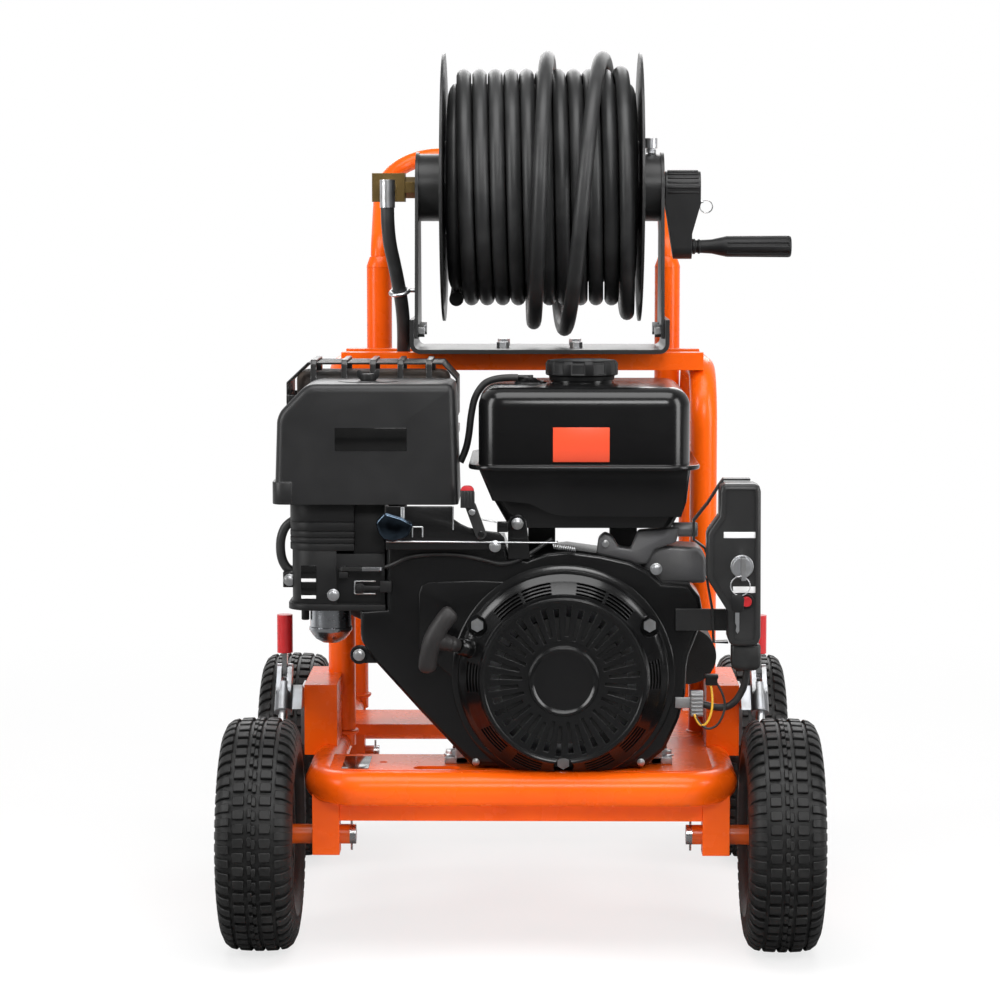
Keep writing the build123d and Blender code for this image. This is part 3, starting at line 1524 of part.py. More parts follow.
# Control box with its key and breaker, and the brackets of box and tank
box_rear_y = box_front_y + box_depth
with BuildPart() as control_box:
    with BuildSketch(front_plane(box_front_y)):
        with Locations(((box_left_x + box_right_x) / 2, (box_bottom + box_top) / 2)):
            RectangleRounded(box_right_x - box_left_x, box_top - box_bottom, box_corner)
    extrude(amount=-box_depth)
    rod(
        (key_x, box_front_y, key_z),
        (key_x, box_front_y + key_barrel_depth + move_gap, key_z),
        key_barrel_dia + 2 * run_gap,
        mode=Mode.SUBTRACT,
    )
    rod(
        (breaker_x, box_front_y, breaker_z),
        (breaker_x, box_front_y + breaker_depth + breaker_travel + move_gap, breaker_z),
        breaker_dia + 2 * run_gap,
        mode=Mode.SUBTRACT,
    )
save(control_box, "control_box")

with BuildPart() as ignition_key:
    barrel_rear_y = box_front_y + key_barrel_depth
    barrel_front_y = barrel_rear_y - key_barrel_length
    rod((key_x, barrel_front_y, key_z), (key_x, barrel_rear_y, key_z), key_barrel_dia)
    block(
        (key_x - key_bow_thick / 2, barrel_front_y - key_bow_height, key_z - key_bow_width / 2),
        (key_x + key_bow_thick / 2, barrel_front_y, key_z + key_bow_width / 2),
    )
save(ignition_key, "ignition_key")

with BuildPart() as breaker_button:
    rod(
        (breaker_x, box_front_y - breaker_reach, breaker_z),
        (breaker_x, box_front_y + breaker_depth, breaker_z),
        breaker_dia,
    )
save(breaker_button, "breaker_button")

with BuildPart() as engine_brackets:
    bracket_low_z = box_bottom + box_corner
    block(
        (crank_x + recoil_dia / 2, box_rear_y, bracket_low_z),
        ((box_left_x + box_right_x) / 2, shroud_front_y, bracket_low_z + 2 * box_corner),
    )
    strap_front_y = tank_front_y + 4 * tank_taper
    for strap_x in (tank_middle[0] - 2 * tank_taper, tank_middle[0] + tank_taper):
        block(
            (strap_x, strap_front_y, case_top),
            (strap_x + tank_taper, strap_front_y + tank_taper, tank_bottom),
        )
save(engine_brackets, "engine_brackets")

# Starter motor beside the crankcase
with BuildPart() as starter_motor:
    motor_rear_y = motor_front_y + motor_length
    rod((motor_x, motor_front_y, motor_z), (motor_x, motor_rear_y, motor_z), motor_dia)
    rod((motor_x, motor_rear_y, motor_z), (motor_x, motor_rear_y + motor_dia / 6, motor_z), motor_dia * 0.75)
    block(
        (case_right_x, motor_front_y, motor_z - motor_dia / 4),
        (motor_x, motor_front_y + motor_length / 2, motor_z + motor_dia / 4),
    )
save(starter_motor, "starter_motor")

# Charging wiring: rectifier on a tab, and the harness up to the control box
rectifier_left_x = 188
rectifier_bottom = 265
harness_route = [
    (rectifier_left_x + rectifier_width, shroud_front_y, 278),
    (222, -279, 272),
    (240, -288, 284),
    (250, -300, 314),
    (250, -300, box_bottom),
]
with BuildPart() as charging_wiring:
    block(
        (rectifier_left_x, shroud_front_y - rectifier_depth / 2, rectifier_bottom),
        (
            rectifier_left_x + rectifier_width,
            shroud_front_y + rectifier_depth / 2,
            rectifier_bottom + rectifier_height,
        ),
    )
    block(
        (crank_x + recoil_dia / 2, shroud_front_y - recoil_wall, rectifier_bottom + rectifier_depth),
        (rectifier_left_x, shroud_front_y, rectifier_bottom + rectifier_height - rectifier_depth / 2),
    )
    tube(harness_route, hose_bends("harness", harness_route, harness_dia), harness_dia)
save(charging_wiring, "charging_wiring")

# Engine bolts: recoil cover, crankcase foot and air cleaner
with BuildPart() as engine_bolts:
    for x, z in bolt_places:
        hex_head((x, recoil_floor_y, z), (x, recoil_floor_y - bolt_head_thick, z), bolt_head)
    foot_top = case_bottom + case_foot
    for foot_x in (case_left_x - case_foot_reach / 2, case_right_x + case_foot_reach / 2):
        for foot_y in (case_front_y + bolt_head, case_rear_y - bolt_head):
            hex_head((foot_x, foot_y, foot_top), (foot_x, foot_y, foot_top + bolt_head_thick), bolt_head)
    nut_place = Vector(
        (cleaner_left_x + cleaner_right_x) / 2,
        (cleaner_front_y + cleaner_rear_y) / 2 - bolt_head,
        cleaner_top,
    )
    hex_head(nut_place, nut_place + Vector(0, 0, bolt_head_thick), bolt_head)
save(engine_bolts, "engine_bolts")

# Pressure pump on the power take-off
with BuildPart() as pump:
    pump_bottom = crank_z - pump_half_height
    pump_top = crank_z + pump_half_height
    head_left_x = pump_left_x + pump_head_inset
    head_right_x = pump_right_x - pump_head_inset
    head_rear_y = pump_rear_y + pump_head_length
    block((pump_left_x, pump_front_y, pump_bottom), (pump_right_x, pump_rear_y, pump_top))
    fillet(pump.edges().filter_by(Axis.Y), pump_head_inset)
    block(
        (head_left_x, pump_rear_y, pump_bottom + pump_head_inset),
        (head_right_x, head_rear_y, pump_top - pump_head_inset),
    )
    rod((head_left_x, outlet_y, outlet_z), outlet_end, outlet_dia)
    for n in (-1, 0, 1):
        cap_mid_x = (pump_left_x + pump_right_x) / 2 + n * 1.5 * pump_cap_dia
        cap_z = pump_top - pump_head_inset
        rod((cap_mid_x, outlet_y, cap_z), (cap_mid_x, outlet_y, cap_z + pump_cap_length), pump_cap_dia)
        rear_cap_y = head_rear_y + pump_cap_length
        rod((cap_mid_x, head_rear_y, crank_z), (cap_mid_x, rear_cap_y, crank_z), pump_cap_dia)
    rod(
        (crank_x, pump_front_y, crank_z),
        (crank_x, pto_end_y + move_gap, crank_z),
        pto_dia + 2 * run_gap,
        mode=Mode.SUBTRACT,
    )
save(pump, "pump")
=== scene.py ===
"""Looks of a petrol pressure washer on a four-wheel cart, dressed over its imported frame."""

import logging
import math
from dataclasses import dataclass
from enum import Enum
from functools import cache
from typing import Any, Callable, Iterable, Sequence

import bmesh
import bpy
from mathutils import Matrix, Vector


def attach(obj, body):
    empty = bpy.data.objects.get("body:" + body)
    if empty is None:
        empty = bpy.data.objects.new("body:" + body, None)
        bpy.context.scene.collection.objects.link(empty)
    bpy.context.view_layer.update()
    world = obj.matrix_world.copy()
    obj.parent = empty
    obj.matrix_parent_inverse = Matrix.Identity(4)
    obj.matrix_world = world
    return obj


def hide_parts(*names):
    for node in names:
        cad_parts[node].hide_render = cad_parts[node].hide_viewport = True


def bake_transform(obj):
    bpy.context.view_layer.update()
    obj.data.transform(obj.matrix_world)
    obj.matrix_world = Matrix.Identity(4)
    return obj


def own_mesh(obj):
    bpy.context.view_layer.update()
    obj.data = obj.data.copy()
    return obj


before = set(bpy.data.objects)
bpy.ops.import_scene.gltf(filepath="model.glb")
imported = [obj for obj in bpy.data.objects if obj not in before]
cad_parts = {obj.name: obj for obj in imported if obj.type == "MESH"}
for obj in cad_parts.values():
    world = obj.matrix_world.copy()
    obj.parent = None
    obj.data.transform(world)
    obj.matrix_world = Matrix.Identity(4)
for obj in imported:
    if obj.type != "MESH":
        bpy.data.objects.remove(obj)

log = logging.getLogger("washer")
Piece = bpy.types.Object
Point = tuple[float, float, float]
Flat = tuple[float, float]
Colour = tuple[float, float, float]
Box = tuple[Point, Point]
Flats = tuple[Flat, ...]
Test = Callable[[Vector, Vector], bool]


class Side(Enum):
    """Left and right of the cart as the camera sees it."""

    LEFT = -1
    RIGHT = 1


class Axle(Enum):
    """Place of each axle along the cart, in metres."""

    FRONT = -0.27
    REAR = 0.23


class Sock:
    """A shader value that takes part in sums: every operator adds one Math node."""

    def __init__(self, tree: bpy.types.NodeTree, socket: bpy.types.NodeSocket) -> None:
        """Wraps one output socket of a node tree."""
        self.tree = tree
        self.socket = socket

    def math(self, operation: str, *values: "Sock | float") -> "Sock":
        """Adds a Math node.

        Args:
            operation: The Math node's operation.
            values: Numbers or wrapped sockets, in the node's own order.

        Returns:
            The node's result.
        """
        node = self.tree.nodes.new("ShaderNodeMath")
        node.operation = operation
        for place, value in zip(node.inputs, values):
            if isinstance(value, Sock):
                self.tree.links.new(value.socket, place)
            else:
                place.default_value = value
        return Sock(self.tree, node.outputs[0])

    def __add__(self, other: "Sock | float") -> "Sock":
        """self + other."""
        return self.math("ADD", self, other)

    __radd__ = __add__

    def __sub__(self, other: "Sock | float") -> "Sock":
        """self - other."""
        return self.math("SUBTRACT", self, other)

    def __rsub__(self, other: float) -> "Sock":
        """other - self."""
        return self.math("SUBTRACT", other, self)

    def __mul__(self, other: "Sock | float") -> "Sock":
        """self * other."""
        return self.math("MULTIPLY", self, other)

    __rmul__ = __mul__

    def __gt__(self, other: float) -> "Sock":
        """1 where self is over other, and 0 elsewhere."""
        return self.math("GREATER_THAN", self, other)

    def sine(self) -> "Sock":
        """The sine of self."""
        return self.math("SINE", self)


class Graph:
    """The node tree of one material."""

    def __init__(self, name: str) -> None:
        """Starts a material.

        Args:
            name: The material's name.
        """
        self.material = bpy.data.materials.new(name)
        self.material.use_nodes = True
        self.tree = self.material.node_tree
        self.shader = self.tree.nodes["Principled BSDF"]
        self.place = self.node("ShaderNodeTexCoord", output="Object")

    def node(
        self,
        kind: str,
        settings: dict[str, Any] | None = None,
        inputs: dict[str | int, Any] | None = None,
        output: str | int = 0,
    ) -> Sock:
        """Adds any node.

        Args:
            kind: The node's type.
            settings: The node's own settings; "stops" are a ramp's places and colours.
            inputs: Numbers, colours or wrapped sockets for its sockets.
            output: The socket that is wanted.

        Returns:
            That output.
        """
        node = self.tree.nodes.new(kind)
        for key, value in (settings or {}).items():
            if key == "stops":
                for stop, (at, shade) in zip(node.color_ramp.elements, value):
                    stop.position = at
                    stop.color = (*shade, 1)
            else:
                setattr(node, key, value)
        for key, value in (inputs or {}).items():
            self.plug(node.inputs[key], value)
        return Sock(self.tree, node.outputs[output])

    def plug(self, socket: bpy.types.NodeSocket, value: Any) -> None:
        """Links a wrapped socket, or sets a plain value.

        Args:
            socket: The socket to feed.
            value: A wrapped socket, a number or a colour.
        """
        if isinstance(value, Sock):
            self.tree.links.new(value.socket, socket)
        elif isinstance(value, tuple) and len(value) == 3 and socket.type == "RGBA":
            socket.default_value = (*value, 1)
        else:
            socket.default_value = value

    def noise(self, scale: float, detail: float) -> Sock:
        """Cloudy noise from 0 to 1, with that many cells in a metre."""
        inputs = {"Vector": self.place, "Scale": scale, "Detail": detail}
        return self.node("ShaderNodeTexNoise", inputs=inputs)

    def step(self, value: Sock, low: float, high: float) -> Sock:
        """0 under low, 1 over high and smooth between."""
        inputs = {"Value": value, "From Min": low, "From Max": high}
        return self.node("ShaderNodeMapRange", {"interpolation_type": "SMOOTHSTEP"}, inputs)

    def mix(self, share: Sock | float, first: Any, second: Any) -> Sock:
        """Blends two colours by share."""
        return self.node("ShaderNodeMix", {"data_type": "RGBA"}, {0: share, 6: first, 7: second}, 2)

    def axis(self, name: str) -> Sock:
        """One coordinate, "X", "Y" or "Z", of the place on the piece."""
        return self.node("ShaderNodeSeparateXYZ", inputs={0: self.place}, output=name)

    def sharp_edges(self, reach: float) -> Sock:
        """Finds the sharp edges.

        Args:
            reach: How far it looks round an edge, in metres.

        Returns:
            About 1 on sharp edges and 0 on open faces.
        """
        round_normal = self.node("ShaderNodeBevel", {"samples": 3}, {"Radius": reach})
        true_normal = self.node("ShaderNodeNewGeometry", output="Normal")
        dot = {"operation": "DOT_PRODUCT"}
        likeness = self.node("ShaderNodeVectorMath", dot, {0: round_normal, 1: true_normal}, "Value")
        return self.step(1 - likeness, 0.01, 0.16)

    def relief(self, height: Sock, depth: float, edge: float) -> Sock:
        """A normal with the height as bumps, and edges that look rounded.

        Args:
            height: The pattern, from 0 to 1.
            depth: How deep the pattern is, in metres.
            edge: The radius of the rounded edges, in metres; 0 keeps them sharp.

        Returns:
            The normal for the shader.
        """
        inputs: dict[str | int, Any] = {"Height": height, "Distance": depth, "Strength": 1.0}
        if edge > 0:
            inputs["Normal"] = self.node("ShaderNodeBevel", {"samples": 4}, {"Radius": edge})
        return self.node("ShaderNodeBump", inputs=inputs)

    def finish(self, **sockets: Any) -> bpy.types.Material:
        """Sets the shader's sockets.

        Args:
            sockets: Values by the socket's name, with _ for a space.

        Returns:
            The material.
        """
        for name, value in sockets.items():
            self.plug(self.shader.inputs[name.replace("_", " ")], value)
        return self.material


@dataclass(frozen=True)
class Finish:
    """A surface finish: one colour that wanders a little, with grain and softened edges."""

    name: str
    slot: str
    colour: Colour
    shade: Colour
    roughness: float
    spread: float = 0.08
    metallic: float = 0.0
    coat: float = 0.0
    grain: float = 900.0
    depth: float = 0.00004
    edge: float = 0.0008
    patch: float = 14.0
    # Colour of the sharp edges: wear on some finishes, a painted highlight on the muffler guard's ribs.
    edge_wear_and_highlight: Colour | None = None
    specular: float = 0.5

    def tone(self, graph: Graph) -> Sock:
        """Mixes the colour, darker or dustier in wide patches, with the edge colour on sharp edges: wear on
        some finishes, a painted highlight on others such as the muffler guard's ribs.

        Args:
            graph: The material's nodes.

        Returns:
            The colour for the shader.
        """
        cloud = graph.step(graph.noise(self.patch, 4.0), 0.38, 0.72)
        base = graph.mix(cloud, self.colour, self.shade)
        if self.edge_wear_and_highlight is None:
            return base
        # Sharp edges take the edge colour; on the muffler guard's ribs this colour is a painted highlight.
        edge_marks = graph.sharp_edges(0.0016) * graph.step(graph.noise(160.0, 3.0), 0.46, 0.62)
        return graph.mix(edge_marks, base, self.edge_wear_and_highlight)

    def grain_height(self, graph: Graph) -> Sock:
        """The fine relief of the surface."""
        return graph.noise(self.grain, 3.0)

    def gloss(self, graph: Graph) -> Sock:
        """The roughness, with faint smears."""
        smear = graph.noise(self.patch * 4.0, 4.0)
        return self.roughness - self.spread * 0.5 + smear * self.spread

    @cache
    def material(self) -> bpy.types.Material:
        """Makes the finish a material, once.

        Returns:
            The material.
        """
        graph = Graph(self.name)
        return graph.finish(
            Base_Color=self.tone(graph),
            Roughness=self.gloss(graph),
            Metallic=self.metallic,
            Coat_Weight=self.coat,
            Coat_Roughness=0.06,
            Specular_IOR_Level=self.specular,
            Normal=graph.relief(self.grain_height(graph), self.depth, self.edge),
        )


@dataclass(frozen=True)
class HoseCover(Finish):
    """Hose rubber that keeps the weave of the cloth it was cured in."""

    def grain_height(self, graph: Graph) -> Sock:
        """A slanting weave over fine noise."""
        weave = (graph.axis("X") * 2600.0 + graph.axis("Z") * 1700.0).sine() * 0.25 + 0.5
        return weave * 0.5 + graph.noise(self.grain, 3.0) * 0.5


@dataclass(frozen=True)
class TwoTone(Finish):
    """A finish that gives way to another one between two distances along one axis."""

    axis_name: str = "Z"
    limit: float = 0.0
    upper: float = 10.0
    far_colour: Colour = (0.5, 0.5, 0.5)
    far_roughness: float = 0.3
    far_metallic: float = 1.0

    @cache
    def material(self) -> bpy.types.Material:
        """Makes the two finishes one material, once.

        Returns:
            The material.
        """
        graph = Graph(self.name)
        reach = graph.axis(self.axis_name)
        reach = reach.math("ABSOLUTE", reach)
        beyond = (reach > self.limit) - (reach > self.upper)
        far = graph.mix(graph.noise(60.0, 3.0), self.far_colour, tuple(0.8 * c for c in self.far_colour))
        rough = self.gloss(graph)
        return graph.finish(
            Base_Color=graph.mix(beyond, self.tone(graph), far),
            Roughness=rough + beyond * (self.far_roughness - self.roughness),
            Metallic=self.metallic + beyond * (self.far_metallic - self.metallic),
            Normal=graph.relief(self.grain_height(graph), self.depth, self.edge),
        )


ORANGE = Finish(
    "orange_powder_coat", "frame_paint", (0.93, 0.12, 0.003), (0.86, 0.098, 0.003), 0.27, 0.07, coat=0.06,
    grain=420.0, depth=0.00005, edge=0.0012, patch=7.0, specular=0.25,
)
WELD = Finish(
    "painted_weld", "frame_paint", (0.88, 0.11, 0.003), (0.74, 0.082, 0.003), 0.33, 0.1, coat=0.06,
    grain=600.0, depth=0.0002, edge=0.0, specular=0.3,
)
GLOSS_BLACK = Finish(
    "gloss_black_enamel", "black_paint", (0.0045, 0.0045, 0.0047), (0.007, 0.007, 0.0072), 0.2, 0.06,
    coat=0.08, grain=350.0, depth=0.00003, edge=0.0014, patch=9.0, specular=0.36,
)
REEL_BLACK = Finish(
    "black_powder_coat", "black_paint", (0.0165, 0.0165, 0.0168), (0.023, 0.023, 0.023), 0.36, 0.1,
    grain=700.0, depth=0.00006, patch=9.0, edge_wear_and_highlight=(0.06, 0.06, 0.06), specular=0.35,
)
SATIN_BLACK = Finish(
    "moulded_black_cover", "black_plastic", (0.011, 0.011, 0.0115), (0.015, 0.015, 0.0155), 0.4, 0.08,
    grain=1500.0, depth=0.00007, edge=0.0015, specular=0.4,
)
DULL_BLACK = Finish(
    "dull_black_moulding", "black_plastic", (0.007, 0.007, 0.0075), (0.011, 0.011, 0.011), 0.48, 0.12,
    grain=1200.0, depth=0.0001, specular=0.32,
)
CASTING_BLACK = Finish(
    "black_sprayed_casting", "black_paint", (0.012, 0.012, 0.012), (0.02, 0.0195, 0.019), 0.5, 0.14,
    depth=0.0003, edge=0.0012, specular=0.35,
)
GREY_CASTING = Finish(
    "grey_arm_casting", "cast_alloy", (0.13, 0.13, 0.135), (0.18, 0.178, 0.175), 0.44, 0.12, metallic=0.5,
    grain=800.0, depth=0.0002,
)
RIM_PAINT = Finish(
    "dark_rim_enamel", "rim_paint", (0.022, 0.02, 0.019), (0.035, 0.03, 0.028), 0.3, 0.1, coat=0.3,
    edge=0.0012, edge_wear_and_highlight=(0.12, 0.11, 0.1),
)
TYRE_RUBBER = Finish(
    "tyre_rubber", "tyre", (0.0075, 0.0075, 0.0075), (0.016, 0.0157, 0.0153), 0.46, 0.2, grain=1300.0,
    depth=0.00025, edge=0.0, patch=30.0, specular=0.35,
)
HOSE_RUBBER = HoseCover(
    "wrapped_hose_rubber", "hose_rubber", (0.0185, 0.0188, 0.0192), (0.032, 0.0323, 0.0327), 0.42, 0.14,
    grain=1000.0, depth=0.0002, edge=0.0, patch=24.0, specular=0.4,
)
WIRE_SLEEVE = Finish(
    "black_wire_sleeve", "hose_rubber", (0.012, 0.012, 0.012), (0.022, 0.022, 0.022), 0.42, 0.1,
    grain=1600.0, depth=0.0001, edge=0.0, patch=40.0,
)
YELLOW_WIRE = Finish(
    "yellow_wire_sleeve", "hose_rubber", (0.72, 0.38, 0.02), (0.6, 0.31, 0.02), 0.4, 0.1, grain=1600.0,
    edge=0.0, patch=40.0,
)
ZINC = Finish(
    "zinc_plate", "zinc", (0.66, 0.67, 0.69), (0.52, 0.52, 0.51), 0.34, 0.16, metallic=1.0, grain=1400.0,
    depth=0.00006, edge=0.0005, patch=60.0, edge_wear_and_highlight=(0.75, 0.75, 0.76),
)
CLAMP_STEEL = Finish(
    "dull_clamp_steel", "zinc", (0.36, 0.37, 0.39), (0.27, 0.27, 0.27), 0.36, 0.14, metallic=1.0,
    grain=1400.0, depth=0.00008, edge=0.0006, patch=50.0,
)
GUARD_BAR = Finish(
    "guard_bar_black", "black_paint", (0.006, 0.006, 0.006), (0.01, 0.01, 0.01), 0.34, 0.1, grain=800.0,
    depth=0.00005, edge=0.0006, edge_wear_and_highlight=(0.16, 0.16, 0.16), specular=0.4,
)
# The ribs' pale edge colour is a painted highlight along their rounded edges.
GUARD_RIB = Finish(
    "guard_rib_rubbed_bright", "black_paint", (0.016, 0.016, 0.016), (0.03, 0.03, 0.03), 0.3, 0.12,
    grain=800.0, depth=0.00006, edge_wear_and_highlight=(0.45, 0.45, 0.46),
)
GRIP_RUBBER = Finish(
    "grip_rubber", "black_plastic", (0.017, 0.0155, 0.0155), (0.027, 0.025, 0.025), 0.5, 0.12, grain=1300.0,
    depth=0.0001, edge=0.0, specular=0.4,
)
CONTROL_BLACK = Finish(
    "control_box_black", "black_paint", (0.019, 0.019, 0.0193), (0.025, 0.025, 0.025), 0.33, 0.08,
    grain=1100.0, depth=0.00005, edge=0.0, specular=0.38,
)
CAST_ALLOY = Finish(
    "as_cast_alloy", "cast_alloy", (0.47, 0.47, 0.48), (0.36, 0.36, 0.36), 0.44, 0.16, metallic=0.85,
    grain=850.0, depth=0.0003, edge=0.001, patch=26.0,
)
BLUED_PLATE = Finish(
    "blued_zinc_plate", "zinc", (0.06, 0.085, 0.115), (0.012, 0.016, 0.022), 0.16, 0.1, metallic=1.0,
    edge=0.0, patch=70.0,
)
BOWL_STEEL = Finish(
    "pressed_bowl_steel", "zinc", (0.52, 0.54, 0.57), (0.4, 0.41, 0.43), 0.26, 0.1, metallic=1.0,
    grain=1000.0, depth=0.00003, patch=50.0,
)
BARE_STRIP = Finish(
    "bare_pale_strip", "cast_alloy", (0.75, 0.75, 0.75), (0.7, 0.7, 0.7), 0.4, 0.05, grain=300.0,
    depth=0.00001, edge=0.0,
)
MUFFLER_COAT = Finish(
    "heat_proof_coat", "exhaust_steel", (0.022, 0.021, 0.021), (0.07, 0.045, 0.03), 0.55, 0.16,
    metallic=0.3, grain=1000.0, depth=0.00015, edge=0.0012,
)
BARE_LABEL = Finish(
    "bare_black_plate", "black_paint", (0.004, 0.004, 0.004), (0.006, 0.006, 0.006), 0.14, 0.04,
    grain=300.0, depth=0.00001, edge=0.0,
)
BARE_ORANGE_LABEL = Finish(
    "bare_orange_plate", "frame_paint", (0.78, 0.075, 0.025), (0.74, 0.07, 0.024), 0.3, 0.05, grain=300.0,
    depth=0.00001, edge=0.0,
)
BUTTON_RED = Finish("red_button", "brake_grip", (0.42, 0.012, 0.016), (0.36, 0.01, 0.013), 0.32, 0.1)
ROPE = HoseCover(
    "braided_rope", "rope", (0.03, 0.03, 0.03), (0.09, 0.09, 0.085), 0.75, 0.1, grain=2200.0, depth=0.0004,
    edge=0.0, patch=400.0,
)
CLAMP_LEVER = TwoTone(
    "clamp_lever_with_grip", "brake_grip", (0.6, 0.61, 0.63), (0.48, 0.48, 0.47), 0.28, 0.14, metallic=1.0,
    patch=60.0, limit=0.3158, far_colour=(0.6, 0.018, 0.022), far_roughness=0.33, far_metallic=0.0,
)
SWIVEL = TwoTone(
    "elbow_and_brass_block", "brass", (0.58, 0.59, 0.6), (0.45, 0.45, 0.45), 0.26, 0.12, metallic=1.0,
    patch=60.0, axis_name="Y", limit=0.0149, far_colour=(0.2, 0.135, 0.05), far_roughness=0.42,
    far_metallic=0.95,
)
THROTTLE = TwoTone(
    "throttle_with_red_top", "black_plastic", (0.012, 0.012, 0.0125), (0.02, 0.02, 0.02), 0.4, 0.1,
    limit=0.5186, far_colour=(0.5, 0.012, 0.02), far_roughness=0.4, far_metallic=0.0,
)
CHOKE = TwoTone(
    "choke_lever_with_bare_end", "zinc", (0.4, 0.41, 0.43), (0.3, 0.3, 0.3), 0.34, 0.12, metallic=1.0,
    patch=60.0, axis_name="X", limit=0.1755, far_colour=(0.01, 0.01, 0.01), far_roughness=0.42,
    far_metallic=0.0,
)
AXLE = TwoTone(
    "painted_stub_with_zinc_ends", "zinc", (0.6, 0.61, 0.63), (0.48, 0.48, 0.47), 0.27, 0.14, metallic=1.0,
    patch=60.0, axis_name="X", limit=0.1908, upper=0.262, far_colour=(0.62, 0.085, 0.004), far_metallic=0.0,
)

NODE_FINISHES: dict[Finish, tuple[str, ...]] = {
    ORANGE: ("base_tube", "engine_deck", "frame_posts", "left_hoop", "right_hoop", "hoop_crossbars",
             "handle_bar"),
    GLOSS_BLACK: ("fan_shroud", "recoil_cover", "fuel_tank", "control_box"),
    REEL_BLACK: ("reel_base_plate", "reel_arms", "reel_drum", "engine_brackets", "muffler_guard"),
    SATIN_BLACK: ("air_cleaner_cover", "crank_arm"),
    DULL_BLACK: ("carburettor_housing", "crank_grip", "starter_grip", "fuel_cap", "fuel_lever"),
    BUTTON_RED: ("breaker_button",),
    CASTING_BLACK: ("crankcase", "cylinder_block", "recoil_pulley", "starter_motor"),
    RIM_PAINT: ("rim_front_left", "rim_front_right", "rim_rear_left", "rim_rear_right"),
    TYRE_RUBBER: ("tyre_front_left", "tyre_front_right", "tyre_rear_left", "tyre_rear_right"),
    HOSE_RUBBER: ("hose_winding", "hose_core", "jumper_hose", "breather_hose", "charging_wiring"),
    AXLE: ("axle_hardware",),
    ZINC: ("reel_hardware", "engine_bolts", "brake_plunger_left", "brake_plunger_right",
           "reel_lock_pin", "hose_end_fitting", "ignition_key", "crankshaft"),
    CLAMP_STEEL: ("brake_clamp_bases",),
    BOWL_STEEL: ("carburettor",),
    CHOKE: ("choke_lever",),
    SWIVEL: ("swivel_joint",),
    CAST_ALLOY: ("pump",),
    MUFFLER_COAT: ("muffler",),
    CLAMP_LEVER: ("brake_lever_left", "brake_lever_right"),
    THROTTLE: ("throttle_lever",),
    ROPE: ("starter_rope",),
}


class Pick(Enum):
    """What a test selects in edit mode."""

    FACE = "faces"
    EDGE = "edges"


